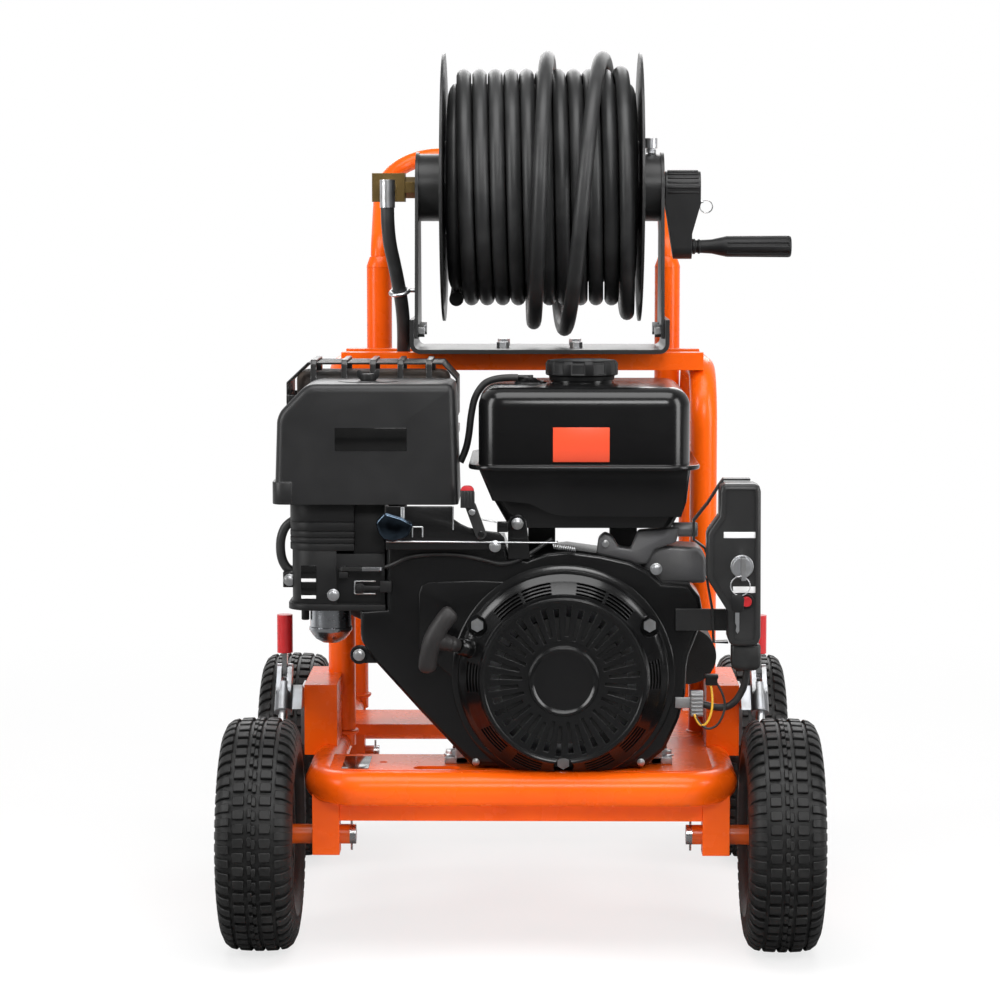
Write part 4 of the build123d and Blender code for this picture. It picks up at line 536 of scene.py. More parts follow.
class Bench:
    """Modelling moves on one piece at a time, as by hand."""

    MERGE = 0.000002
    HEAD_SHARE = 0.74
    HEAD_RISE = 0.55

    @staticmethod
    def clear() -> None:
        """Leaves edit mode and drops the selection."""
        if bpy.context.mode != "OBJECT":
            bpy.ops.object.mode_set(mode="OBJECT")
        bpy.ops.object.select_all(action="DESELECT")

    @classmethod
    def take(cls, piece: Piece) -> None:
        """Selects one piece alone and makes it active.

        Args:
            piece: The piece.
        """
        cls.clear()
        piece.select_set(True)
        bpy.context.view_layer.objects.active = piece

    @classmethod
    def enter(cls, piece: Piece) -> None:
        """Takes a piece into edit mode with all of it selected.

        Args:
            piece: The piece.
        """
        cls.take(piece)
        bpy.ops.object.mode_set(mode="EDIT")
        bpy.ops.mesh.select_all(action="SELECT")

    @staticmethod
    def keep(name: str) -> Piece:
        """Names the new primitive and puts its place into its mesh.

        Args:
            name: The piece's name.

        Returns:
            The piece.
        """
        piece = bpy.context.active_object
        piece.name = piece.data.name = name
        bpy.ops.object.transform_apply(location=True, rotation=True, scale=True)
        return piece

    @classmethod
    def block(cls, name: str, low: Point, high: Point) -> Piece:
        """A box between two corners.

        Args:
            name: The piece's name.
            low: One corner.
            high: The corner opposite.

        Returns:
            The box.
        """
        cls.clear()
        centre = [(a + b) / 2 for a, b in zip(low, high)]
        size = [b - a for a, b in zip(low, high)]
        bpy.ops.mesh.primitive_cube_add(size=1, location=centre, scale=size)
        return cls.keep(name)

    @classmethod
    def rod(cls, name: str, start: Point, end: Point, radius: float, sides: int = 24) -> Piece:
        """A round or many-sided bar between two points.

        Args:
            name: The piece's name.
            start: The middle of one end.
            end: The middle of the other end.
            radius: The bar's radius.
            sides: How many sides it has.

        Returns:
            The bar.
        """
        cls.clear()
        run = Vector(end) - Vector(start)
        bpy.ops.mesh.primitive_cylinder_add(
            vertices=sides,
            radius=radius,
            depth=run.length,
            location=(Vector(start) + Vector(end)) / 2,
            rotation=run.to_track_quat("Z", "Y").to_euler(),
        )
        return cls.keep(name)

    @classmethod
    def ring(cls, name: str, centre: Point, axis: Point, radius: float, wire: float,
             sides: int = 40) -> Piece:
        """A wire ring round an axis.

        Args:
            name: The piece's name.
            centre: The ring's centre.
            axis: The axis' direction.
            radius: The ring's radius, to the middle of the wire.
            wire: The wire's radius.
            sides: How many sides the ring has.

        Returns:
            The ring.
        """
        cls.clear()
        bpy.ops.mesh.primitive_torus_add(
            major_radius=radius,
            minor_radius=wire,
            major_segments=sides,
            minor_segments=10,
            location=centre,
            rotation=Vector(axis).to_track_quat("Z", "Y").to_euler(),
        )
        return cls.keep(name)

    @classmethod
    def trace(cls, name: str, points: Sequence[Point]) -> Piece:
        """A chain of edges, drawn by extruding one vertex; edit mode stays on.

        Args:
            name: The piece's name.
            points: The points that the chain runs through.

        Returns:
            The chain.
        """
        cls.clear()
        bpy.ops.mesh.primitive_plane_add(size=0.0001, location=points[0])
        piece = cls.keep(name)
        cls.enter(piece)
        bpy.ops.mesh.merge(type="CENTER")
        for here, there in zip(points, points[1:]):
            step = tuple(Vector(there) - Vector(here))
            bpy.ops.mesh.extrude_region_move(TRANSFORM_OT_translate={"value": step})
        return piece

    @classmethod
    def plate(cls, name: str, outline: Sequence[Point], depth: Point) -> Piece:
        """A flat outline, filled and extruded.

        Args:
            name: The piece's name.
            outline: The corners, in order.
            depth: The vector that it is extruded by.

        Returns:
            The plate.
        """
        piece = cls.trace(name, outline)
        bpy.ops.mesh.select_all(action="SELECT")
        bpy.ops.mesh.edge_face_add()
        bpy.ops.mesh.extrude_region_move(TRANSFORM_OT_translate={"value": depth})
        return cls.mend(piece)

    @classmethod
    def sheet(cls, name: str, outline: Sequence[Flat], front: float, depth: float) -> Piece:
        """A plate from the X and Z of its corners, with its face at a Y and its depth along Y."""
        return cls.plate(name, [(x, front, z) for x, z in outline], (0, depth, 0))

    @classmethod
    def turned(cls, name: str, section: Sequence[Point], centre: Point, axis: Point, steps: int = 64,
               closed: bool = False) -> Piece:
        """A section spun once round an axis.

        Args:
            name: The piece's name.
            section: Points of the section, in one plane with the axis.
            centre: A point of the axis.
            axis: The axis' direction.
            steps: How many copies the turn has.
            closed: Joins the section's last point to its first.

        Returns:
            The turned piece.
        """
        piece = cls.trace(name, [*section, section[0]] if closed else section)
        bpy.ops.mesh.select_all(action="SELECT")
        bpy.ops.mesh.remove_doubles(threshold=cls.MERGE / 2)
        bpy.ops.mesh.select_all(action="SELECT")
        bpy.ops.mesh.spin(steps=steps, angle=math.tau, center=centre, axis=axis)
        return cls.mend(piece)

    @classmethod
    def bolt(cls, spot: Point, radius: float) -> Piece:
        """A flange bolt's head that faces the front.

        Args:
            spot: The middle of its back.
            radius: The flange's radius.

        Returns:
            The bolt's head.
        """
        x, y, z = spot
        face = y - 0.0016
        disc = cls.rod("disc", (x, y + 0.001, z), (x, face, z), radius, 32)
        top = face - cls.HEAD_RISE * radius
        head = cls.rod("head", (x, y - 0.001, z), (x, top, z), cls.HEAD_SHARE * radius, 6)
        return cls.soften(cls.join("bolt", (disc, head)), 0.0005)

    @classmethod
    def mend(cls, piece: Piece) -> Piece:
        """Merges doubles, turns the faces outwards and leaves edit mode.

        Args:
            piece: The piece in edit mode.

        Returns:
            The same piece.
        """
        bpy.ops.mesh.select_mode(type="VERT")
        bpy.ops.mesh.select_all(action="SELECT")
        bpy.ops.mesh.remove_doubles(threshold=cls.MERGE)
        bpy.ops.mesh.select_all(action="SELECT")
        bpy.ops.mesh.normals_make_consistent(inside=False)
        cls.clear()
        return piece

    @classmethod
    def choose(cls, piece: Piece, kind: Pick, test: Test) -> None:
        """Enters edit mode with the faces or edges selected that pass a test.

        Args:
            piece: The piece.
            kind: Faces or edges.
            test: Takes a face's centre and normal, or an edge's two ends.
        """
        cls.take(piece)
        bpy.ops.object.mode_set(mode="EDIT")
        bpy.ops.mesh.select_mode(type=kind.name)
        bpy.ops.mesh.select_all(action="DESELECT")
        mesh = bmesh.from_edit_mesh(piece.data)
        if kind is Pick.FACE:
            for face in mesh.faces:
                face.select = test(face.calc_center_median(), face.normal)
        else:
            for edge in mesh.edges:
                edge.select = test(edge.verts[0].co, edge.verts[1].co)
        mesh.select_flush_mode()
        bmesh.update_edit_mesh(piece.data)

    @classmethod
    def round_edges(cls, piece: Piece, test: Test, width: float, segments: int) -> None:
        """Bevels the edges whose two ends pass a test.

        Args:
            piece: The piece.
            test: Takes an edge's two ends.
            width: The bevel's width.
            segments: How many strips the bevel has.
        """
        cls.choose(piece, Pick.EDGE, test)
        bpy.ops.mesh.bevel(offset=width, segments=segments, affect="EDGES", clamp_overlap=True)
        cls.mend(piece)

    @classmethod
    def sink(cls, piece: Piece, test: Test, margin: float, move: Point) -> None:
        """Insets the chosen faces and moves them, as a recess.

        Args:
            piece: The piece.
            test: Takes a face's centre and normal.
            margin: The rim's width.
            move: The vector that the faces move by.
        """
        cls.choose(piece, Pick.FACE, test)
        bpy.ops.mesh.inset(thickness=margin, depth=0)
        bpy.ops.mesh.extrude_region_move(TRANSFORM_OT_translate={"value": move})
        cls.mend(piece)

    @classmethod
    def press(cls, piece: Piece, test: Test, move: Point | None = None, through: bool = False) -> None:
        """Moves the chosen faces with walls behind them, or opens a hole.

        Args:
            piece: The piece.
            test: Takes a face's centre and normal.
            move: The vector that the faces move by; None deletes them where they are.
            through: Deletes the faces after the move.
        """
        cls.choose(piece, Pick.FACE, test)
        if move is not None:
            bpy.ops.mesh.extrude_region_move(TRANSFORM_OT_translate={"value": move})
        if through or move is None:
            bpy.ops.mesh.delete(type="FACE")
        cls.mend(piece)

    @classmethod
    def trim(cls, piece: Piece, spot: Point, keep: Point) -> None:
        """Cuts a piece off at a plane.

        Args:
            piece: The piece.
            spot: A point of the plane.
            keep: The direction of the side that stays.
        """
        cls.enter(piece)
        bpy.ops.mesh.bisect(plane_co=spot, plane_no=keep, use_fill=True, clear_inner=True)
        cls.mend(piece)

    @classmethod
    def groove(cls, piece: Piece, test: Test, margin: float, depth: float) -> None:
        """Insets each group of chosen faces and presses it in along its normals.

        Args:
            piece: The piece.
            test: Takes a face's centre and normal.
            margin: The width of the groove's walls.
            depth: The groove's depth.
        """
        cls.choose(piece, Pick.FACE, test)
        bpy.ops.mesh.inset(thickness=margin, depth=-depth)
        cls.mend(piece)

    @classmethod
    def modify(cls, piece: Piece, kind: str, **settings: Any) -> None:
        """Adds a modifier and applies it.

        Args:
            piece: The piece.
            kind: The modifier's type.
            settings: The modifier's settings.
        """
        cls.take(piece)
        change = piece.modifiers.new(kind.lower(), kind)
        for key, value in settings.items():
            setattr(change, key, value)
        bpy.ops.object.modifier_apply(modifier=change.name)

    @classmethod
    def soften(cls, piece: Piece, width: float, segments: int = 2, angle: float = 32.0) -> Piece:
        """Bevels the sharp edges and shades the rest smooth.

        Args:
            piece: The piece.
            width: The bevel's width; 0 for shading alone.
            segments: How many strips the bevel has.
            angle: The angle in degrees from which an edge is sharp.

        Returns:
            The same piece.
        """
        if width > 0:
            cls.modify(piece, "BEVEL", width=width, segments=segments, limit_method="ANGLE",
                       angle_limit=math.radians(angle))
        cls.take(piece)
        bpy.ops.object.shade_smooth_by_angle(angle=math.radians(angle + 6))
        return piece

    @classmethod
    def cut(cls, piece: Piece, tool: Piece) -> None:
        """Takes a tool's shape out of a piece and drops the tool."""
        cls.modify(piece, "BOOLEAN", operation="DIFFERENCE", object=tool, solver="EXACT")
        bpy.data.objects.remove(tool)

    @classmethod
    def twin(cls, piece: Piece, name: str, place: Matrix) -> Piece:
        """Copies a piece, with a mesh of its own.

        Args:
            piece: The piece.
            name: The copy's name.
            place: The matrix that the copy is moved by.

        Returns:
            The copy.
        """
        copy = piece.copy()
        copy.data = piece.data.copy()
        copy.name = copy.data.name = name
        copy.data.transform(place)
        bpy.context.scene.collection.objects.link(copy)
        return copy

    @classmethod
    def circled(cls, piece: Piece, centre: Point, axis: Point, count: int) -> Piece:
        """Repeats a piece evenly round an axis, inside one mesh.

        Args:
            piece: The piece.
            centre: A point of the axis.
            axis: The axis' direction.
            count: How many there are in the end.

        Returns:
            The same piece.
        """
        cls.clear()
        turn = Matrix.Rotation(math.tau / count, 4, Vector(axis))
        pivot = bpy.data.objects.new("pivot", None)
        pivot.matrix_world = Matrix.Translation(centre) @ turn @ Matrix.Translation(-Vector(centre))
        bpy.context.scene.collection.objects.link(pivot)
        bpy.context.view_layer.update()
        cls.modify(piece, "ARRAY", count=count, use_relative_offset=False, use_object_offset=True,
                   offset_object=pivot)
        bpy.data.objects.remove(pivot)
        return piece

    @classmethod
    def join(cls, name: str, pieces: Iterable[Piece]) -> Piece:
        """Makes one piece of several.

        Args:
            name: The name of the whole.
            pieces: The pieces, of which the first takes up the others.

        Returns:
            The whole.
        """
        whole, *others = pieces
        cls.take(whole)
        for piece in others:
            piece.select_set(True)
        bpy.ops.object.join()
        whole.name = whole.data.name = name
        return whole

    @classmethod
    def soft_join(cls, name: str, pieces: Iterable[Piece], width: float) -> Piece:
        """Softens several pieces by a bevel's width and makes one of them."""
        return cls.join(name, [cls.soften(piece, width) for piece in pieces])


def place(piece: Piece, finish: Finish, body: str | None = "frame", nodes: Sequence[str] = ()) -> None:
    """Gives a finished piece its material and its body.

    Args:
        piece: The piece, with its place in its mesh.
        finish: Its finish.
        body: The CAD body that it moves with; None for a piece between two bodies.
        nodes: CAD nodes that it stands for.
    """
    piece.data.materials.clear()
    piece.data.materials.append(finish.material())
    if body is not None:
        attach(piece, body)
    if nodes:
        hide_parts(*nodes)
    log.info("%s rides on %s", piece.name, body)


@dataclass
class Hose:
    """A hose or wire along one smooth spline."""

    name: str
    points: Sequence[Point]
    diameter: float
    finish: Finish
    length: float
    nodes: tuple[str, ...] = ()
    body: str = "frame"
    far_end: str = "object"
    stiffness: str = "medium"
    lay: str = "hanging"
    steps: int = 10
    pieces: tuple[str, ...] = ()

    def build(self) -> None:
        data = bpy.data.curves.new(self.name, "CURVE")
        data.dimensions = "3D"
        data.bevel_depth = self.diameter / 2
        data.bevel_resolution = 5
        data.resolution_u = self.steps
        data.use_fill_caps = True
        spline = data.splines.new("NURBS")
        spline.points.add(len(self.points) - 1)
        for knot, point in zip(spline.points, self.points):
            knot.co = (*point, 1)
        spline.order_u = 3
        spline.use_endpoint_u = True
        piece = bpy.data.objects.new(self.name, data)
        bpy.context.scene.collection.objects.link(piece)
        place(piece, self.finish, self.body, self.nodes)


@dataclass
class Studio:
    """Camera, soft light, pale floor and white surroundings."""

    eye: Point = (0.016, -3.5785, 0.8183)
    pitch: float = -5.412
    yaw: float = 0.681
    lens: float = 108.26
    middle: Point = (0.0, -0.1, 0.45)
    softboxes: tuple[tuple[str, Point, Flat, float], ...] = (
        ("left_softbox", (-2.2, -1.3, 1.4), (0.8, 2.0), 37),
        ("right_softbox", (2.2, -1.3, 1.3), (0.8, 2.0), 37),
        ("top_softbox", (0.0, -0.8, 2.6), (2.2, 1.4), 46),
        ("front_fill", (0.4, -3.4, 2.3), (1.4, 0.9), 44),
        ("back_softbox", (0.0, 2.6, 1.9), (2.4, 1.4), 36),
    )
    floor_size: float = 60.0
    floor_z: float = -0.0006
    white_ring: Flat = (0.9, 2.4)
    white_near: float = 0.74
    turn: Flat = (-0.4, 0.9)
    glow: float = 0.16

    def build(self) -> None:
        """Sets up the whole studio."""
        self.camera()
        self.lamps()
        self.floor()
        self.surroundings()

    def camera(self) -> None:
        """The camera at the photograph's angle."""
        data = bpy.data.cameras.new("camera")
        data.lens = self.lens
        data.sensor_width = 36.0
        camera = bpy.data.objects.new("camera", data)
        camera.location = self.eye
        camera.rotation_euler = (math.radians(90 + self.pitch), 0, math.radians(self.yaw))
        bpy.context.scene.collection.objects.link(camera)
        bpy.context.scene.camera = camera

    def lamps(self) -> None:
        """A softbox at each side, one overhead and one behind, and a front fill."""
        for name, spot, size, power in self.softboxes:
            data = bpy.data.lights.new(name, "AREA")
            data.shape = "RECTANGLE"
            data.size, data.size_y = size
            data.energy = power
            lamp = bpy.data.objects.new(name, data)
            lamp.location = spot
            lamp.rotation_euler = (Vector(self.middle) - Vector(spot)).to_track_quat("-Z", "Y").to_euler()
            bpy.context.scene.collection.objects.link(lamp)

    def floor(self) -> None:
        """A pale floor, white to the camera far out; in mirrors white behind the machine, dark ahead."""
        Bench.clear()
        bpy.ops.mesh.primitive_plane_add(size=self.floor_size, location=(0, 0, self.floor_z))
        floor = Bench.keep("floor")
        graph = Graph("pale_floor")
        reach = graph.node("ShaderNodeVectorMath", {"operation": "LENGTH"}, {0: graph.place}, "Value")
        far = graph.step(reach, *self.white_ring)
        behind = graph.step(graph.axis("Y"), *self.turn)
        seen = graph.node("ShaderNodeLightPath", output="Is Camera Ray")
        mirrored = graph.node("ShaderNodeLightPath", output="Is Glossy Ray")
        white = seen * (far * (1 - self.white_near) + self.white_near) + mirrored * far * behind
        near = graph.step(graph.noise(3.0, 2.0), 0.2, 0.9)
        pale = graph.mix(near, (0.93, 0.93, 0.93), (0.91, 0.91, 0.91))
        ahead = mirrored * (1 - behind) * 0.85
        tint = graph.mix(ahead, pale, (0.06, 0.06, 0.06))
        matte = graph.node("ShaderNodeBsdfDiffuse", inputs={"Color": tint})
        glow = graph.node("ShaderNodeEmission", inputs={"Color": (1.0, 1.0, 1.0), "Strength": 1.0})
        both = graph.node("ShaderNodeMixShader", inputs={0: white, 1: matte, 2: glow})
        output = graph.tree.nodes["Material Output"]
        graph.plug(output.inputs["Surface"], both)
        floor.data.materials.append(graph.material)

    def surroundings(self) -> None:
        """White to the camera, dimmer as light, and in mirrors bright only behind the machine."""
        world = bpy.data.worlds.new("studio")
        bpy.context.scene.world = world
        world.use_nodes = True
        tree = world.node_tree
        path = tree.nodes.new("ShaderNodeLightPath")
        seen = Sock(tree, path.outputs["Is Camera Ray"])
        mirrored = Sock(tree, path.outputs["Is Glossy Ray"])
        through = Sock(tree, path.outputs["Is Transmission Ray"])
        place_node = tree.nodes.new("ShaderNodeTexCoord")
        split = tree.nodes.new("ShaderNodeSeparateXYZ")
        tree.links.new(place_node.outputs["Object"], split.inputs[0])
        ahead = Sock(tree, split.outputs["Y"])
        behind = ahead.math("MAXIMUM", ahead, 0.0)
        strength = self.glow + (seen + through) * (1 - self.glow) + mirrored * behind * 0.7
        ground = tree.nodes["Background"]
        ground.inputs["Color"].default_value = (1, 1, 1, 1)
        tree.links.new(strength.socket, ground.inputs["Strength"])


@dataclass
class WoundHose:
    """The high-pressure hose on its reel, and the hose from the swivel to the pump."""

    diameter: float = 0.0175
    axis_y: float = 0.032
    axis_z: float = 0.851
    lay_radius: float = 0.133
    turns: int = 11
    first_x: float = -0.07925
    last_x: float = 0.12525
    per_turn: int = 24
    core_radius: float = 0.12375
    second_lay: float = 0.021
    slack: float = 0.016
    last_slack: float = 0.008
    way_back: float = 0.084
    last_way: float = 0.03
    jumper: tuple[Point, ...] = (
        (-0.1595, -0.008, 0.827), (-0.1595, -0.008, 0.795), (-0.15, 0.0, 0.752), (-0.1425, 0.017, 0.706),
        (-0.142, 0.03, 0.66), (-0.146, 0.046, 0.605), (-0.154, 0.074, 0.553), (-0.163, 0.112, 0.503),
        (-0.169, 0.142, 0.452), (-0.166, 0.1525, 0.398), (-0.143, 0.1525, 0.356), (-0.099, 0.1525, 0.33),
        (-0.048, 0.1525, 0.33),
    )

    @staticmethod
    def ease(share: float) -> float:
        """A smooth rise from 0 to 1."""
        part = min(max(share, 0.0), 1.0)
        return part * part * (3 - 2 * part)

    @staticmethod
    def bulge(share: float) -> float:
        """A smooth hump of height 1 between -1 and 1."""
        return math.cos(math.pi * share / 2) ** 2 if abs(share) < 1 else 0.0

    def point(self, angle: float) -> Point:
        """Follows the winding, whose last turns lie over the outer layer.

        Args:
            angle: The angle wound so far, in radians.

        Returns:
            The hose's centre there.
        """
        past = angle - self.turns * math.tau
        radius = self.lay_radius + self.second_lay * self.ease((past + 1.5 * math.pi) / math.tau)
        radius += self.slack * self.bulge((past - math.tau) / (0.9 * math.pi))
        radius += self.last_slack * self.bulge((past - 2 * math.tau) / (0.8 * math.pi))
        pitch = (self.last_x - self.first_x) / self.turns
        x = self.first_x + pitch * min(angle / math.tau, self.turns)
        back = self.way_back * self.ease(past / (2.5 * math.pi))
        x -= back + self.last_way * self.ease((past - math.tau) / (2.4 * math.pi))
        return (x, self.axis_y + radius * math.sin(angle), self.axis_z - radius * math.cos(angle))

    def build(self) -> None:
        """Winds the hose, fills the layers under it and lays the jumper hose."""
        end = self.turns * math.tau + 4.5 * math.pi
        count = round(end / math.tau * self.per_turn)
        route = [self.point(end * n / count) for n in range(count + 1)]
        Hose("wound_hose", route, self.diameter, HOSE_RUBBER, 11.51, ("hose_winding",), "reel", "fitting",
             "stiff", "coiled", 3, ("hose_end_fitting",)).build()
        self.inner_layers()
        Hose("jumper_hose_line", self.jumper, 0.016, HOSE_RUBBER, 0.614, ("jumper_hose",),
             stiffness="stiff").build()

    def inner_layers(self) -> None:
        """The turns under the outer ones, seen between them as rounded ridges."""
        half = (self.last_x - self.first_x) / self.turns / 2
        inner = self.core_radius - 2 * half
        section = [(self.first_x - half, self.axis_y, self.axis_z + inner)]
        for n in range(self.turns + 1):
            middle = self.first_x + 2 * half * n
            for step in range(1, 8):
                turn = math.pi * step / 8
                reach = inner + half * math.sin(turn) * 1.95
                section.append((middle - half * math.cos(turn), self.axis_y, self.axis_z + reach))
        section.append((self.last_x + half, self.axis_y, self.axis_z + inner))
        centre = (0, self.axis_y, self.axis_z)
        core = Bench.turned("hose_layers_beneath", section, centre, (1, 0, 0), 72, closed=True)
        place(Bench.soften(core, 0, angle=60), HOSE_RUBBER, "reel", ("hose_core",))


@dataclass
class EngineLines:
    """Vent hoses, charging cable, loose wires and the rectifier of the engine."""

    lines: tuple[Hose, ...] = (
        Hose("tank_vent_hose", (
            (-0.004, -0.192, 0.636), (-0.035, -0.192, 0.637), (-0.052, -0.194, 0.618),
            (-0.057, -0.196, 0.594), (-0.059, -0.198, 0.572), (-0.063, -0.199, 0.553), (-0.069, -0.2, 0.541),
        ), 0.008, HOSE_RUBBER, 0.133, ("breather_hose",), stiffness="limp"),
        Hose("charging_cable", (
            (0.202, -0.275, 0.278), (0.222, -0.279, 0.272), (0.24, -0.288, 0.284), (0.25, -0.3, 0.314),
            (0.25, -0.3, 0.349),
        ), 0.008, WIRE_SLEEVE, 0.11, ("charging_wiring",)),
        Hose("carburettor_vent_hose", (
            (-0.25, -0.232, 0.4805), (-0.2622, -0.232, 0.475), (-0.269, -0.2315, 0.461),
            (-0.2702, -0.231, 0.446), (-0.268, -0.2305, 0.432), (-0.261, -0.23, 0.4215),
            (-0.249, -0.23, 0.415),
        ), 0.0105, HOSE_RUBBER, 0.08, stiffness="limp"),
        Hose("stop_switch_wire", (
            (-0.15, -0.2705, 0.43), (-0.14, -0.277, 0.434), (-0.1225, -0.2785, 0.444),
            (-0.079, -0.2785, 0.4465), (-0.046, -0.2785, 0.441), (-0.016, -0.28, 0.432),
            (0.0165, -0.28, 0.45), (0.034, -0.272, 0.462),
        ), 0.0045, WIRE_SLEEVE, 0.201, stiffness="limp"),
        Hose("yellow_wire_loop", (
            (0.208, -0.276, 0.306), (0.211, -0.282, 0.3), (0.2125, -0.286, 0.276), (0.206, -0.288, 0.257),
            (0.196, -0.287, 0.256), (0.192, -0.283, 0.268),
        ), 0.0026, YELLOW_WIRE, 0.066, stiffness="limp"),
        Hose("black_wire_loop", (
            (0.214, -0.277, 0.306), (0.223, -0.283, 0.294), (0.227, -0.286, 0.275), (0.217, -0.289, 0.254),
            (0.201, -0.289, 0.252), (0.194, -0.284, 0.265),
        ), 0.0026, WIRE_SLEEVE, 0.082, stiffness="limp"),
    )
    case: Box = ((0.188, -0.28, 0.265), (0.202, -0.269, 0.293))
    tab: Box = ((0.171, -0.278, 0.274), (0.1885, -0.275, 0.286))
    plug: Box = ((0.2045, -0.283, 0.3), (0.2175, -0.273, 0.311))
    plug_lip: Box = ((0.2035, -0.2838, 0.3075), (0.2185, -0.2722, 0.312))
    rib_count: int = 6
    rib_pitch: float = 0.0042

    def build(self) -> None:
        """Lays every line and makes the rectifier."""
        for line in self.lines:
            line.build()
        self.rectifier()

    def rectifier(self) -> None:
        """The charging rectifier with its cooling ribs and its tab, and the black plug of the wires."""
        case = Bench.block("case", *self.case)
        ribs = []
        for n in range(self.rib_count):
            low, high = 0.2668 + self.rib_pitch * n, 0.2686 + self.rib_pitch * n
            ribs.append(Bench.block("rib", (0.1885, -0.2822, low), (0.2015, -0.2795, high)))
        tab = Bench.block("tab", *self.tab)
        place(Bench.soften(Bench.join("charging_rectifier", [case, *ribs, tab]), 0.0006), CAST_ALLOY)
        plug = (Bench.block("plug", *self.plug), Bench.block("lip", *self.plug_lip))
        place(Bench.soften(Bench.join("wire_plug", plug), 0.001), DULL_BLACK)


@dataclass
class Wheel:
    """Block-tread tyres, moulded once and fitted at each corner."""

    track: float = 0.29
    height: float = 0.13
    blocks: int = 52
    half_section: Flats = (
        (0.0, 0.1258), (0.014, 0.1254), (0.024, 0.1245), (0.031, 0.1222), (0.0365, 0.1175), (0.0402, 0.1105),
        (0.0415, 0.101), (0.0411, 0.0945), (0.0419, 0.093), (0.0419, 0.0905), (0.0406, 0.089),
        (0.0385, 0.0835), (0.0345, 0.0785), (0.03, 0.0755), (0.027, 0.0722),
    )
    centre_lug: Flats = ((-0.0002, 0.1245), (-0.0002, 0.1299), (0.0046, 0.1298), (0.0046, 0.1245))
    side_lug: Flats = ((0.0084, 0.124), (0.0084, 0.1297), (0.0208, 0.129), (0.0208, 0.1232))
    shoulder_lug: Flats = (
        (0.0248, 0.122), (0.0248, 0.1284), (0.0306, 0.127), (0.0364, 0.1226), (0.0405, 0.114),
        (0.042, 0.105), (0.0405, 0.105), (0.0385, 0.1125), (0.033, 0.119),
    )

    def carcass(self) -> Piece:
        """Turns the tyre's body, with a protector ring on each wall.

        Returns:
            The carcass.
        """
        right = [(x, 0.0, z) for x, z in self.half_section]
        left = [(-x, 0.0, z) for x, z in reversed(self.half_section[1:])]
        body = Bench.turned("carcass", left + right, (0, 0, 0), (1, 0, 0), 96, closed=True)
        return Bench.soften(body, 0, angle=50)

    def lugs(self, outline: Sequence[Flat], length: float, shift: float, side: int = 1) -> Piece:
        """One row of tread blocks.

        Args:
            outline: A block's section across the tyre.
            length: Its length along the rolling direction.
            shift: Its place within the pitch, from 0 to 1.
            side: 1, or -1 for the mirrored row.

        Returns:
            The row as one mesh.
        """
        row = Bench.sheet("lugs", [(side * x, z) for x, z in outline], -length / 2, length)
        Bench.soften(row, 0.0008, 1)
        row.data.transform(Matrix.Rotation(shift * math.tau / self.blocks, 4, "X"))
        return Bench.circled(row, (0, 0, 0), (1, 0, 0), self.blocks)

    def build(self) -> None:
        """Moulds the tyre and fits the four copies."""
        rows = [self.carcass()]
        for side in (1, -1):
            rows.append(self.lugs(self.centre_lug, 0.01, 0.1 * side, side))
            rows.append(self.lugs(self.side_lug, 0.0104, 0.0, side))
            rows.append(self.lugs(self.shoulder_lug, 0.0092, 0.5, side))
        mould = Bench.join("tyre_mould", rows)
        for axle in Axle:
            for side in Side:
                corner = f"{axle.name.lower()}_{side.name.lower()}"
                spot = Matrix.Translation((side.value * self.track, axle.value, self.height))
                tyre = Bench.twin(mould, f"block_tread_{corner}", spot)
                place(tyre, TYRE_RUBBER, f"wheel_{corner}", (f"tyre_{corner}",))
        bpy.data.objects.remove(mould)


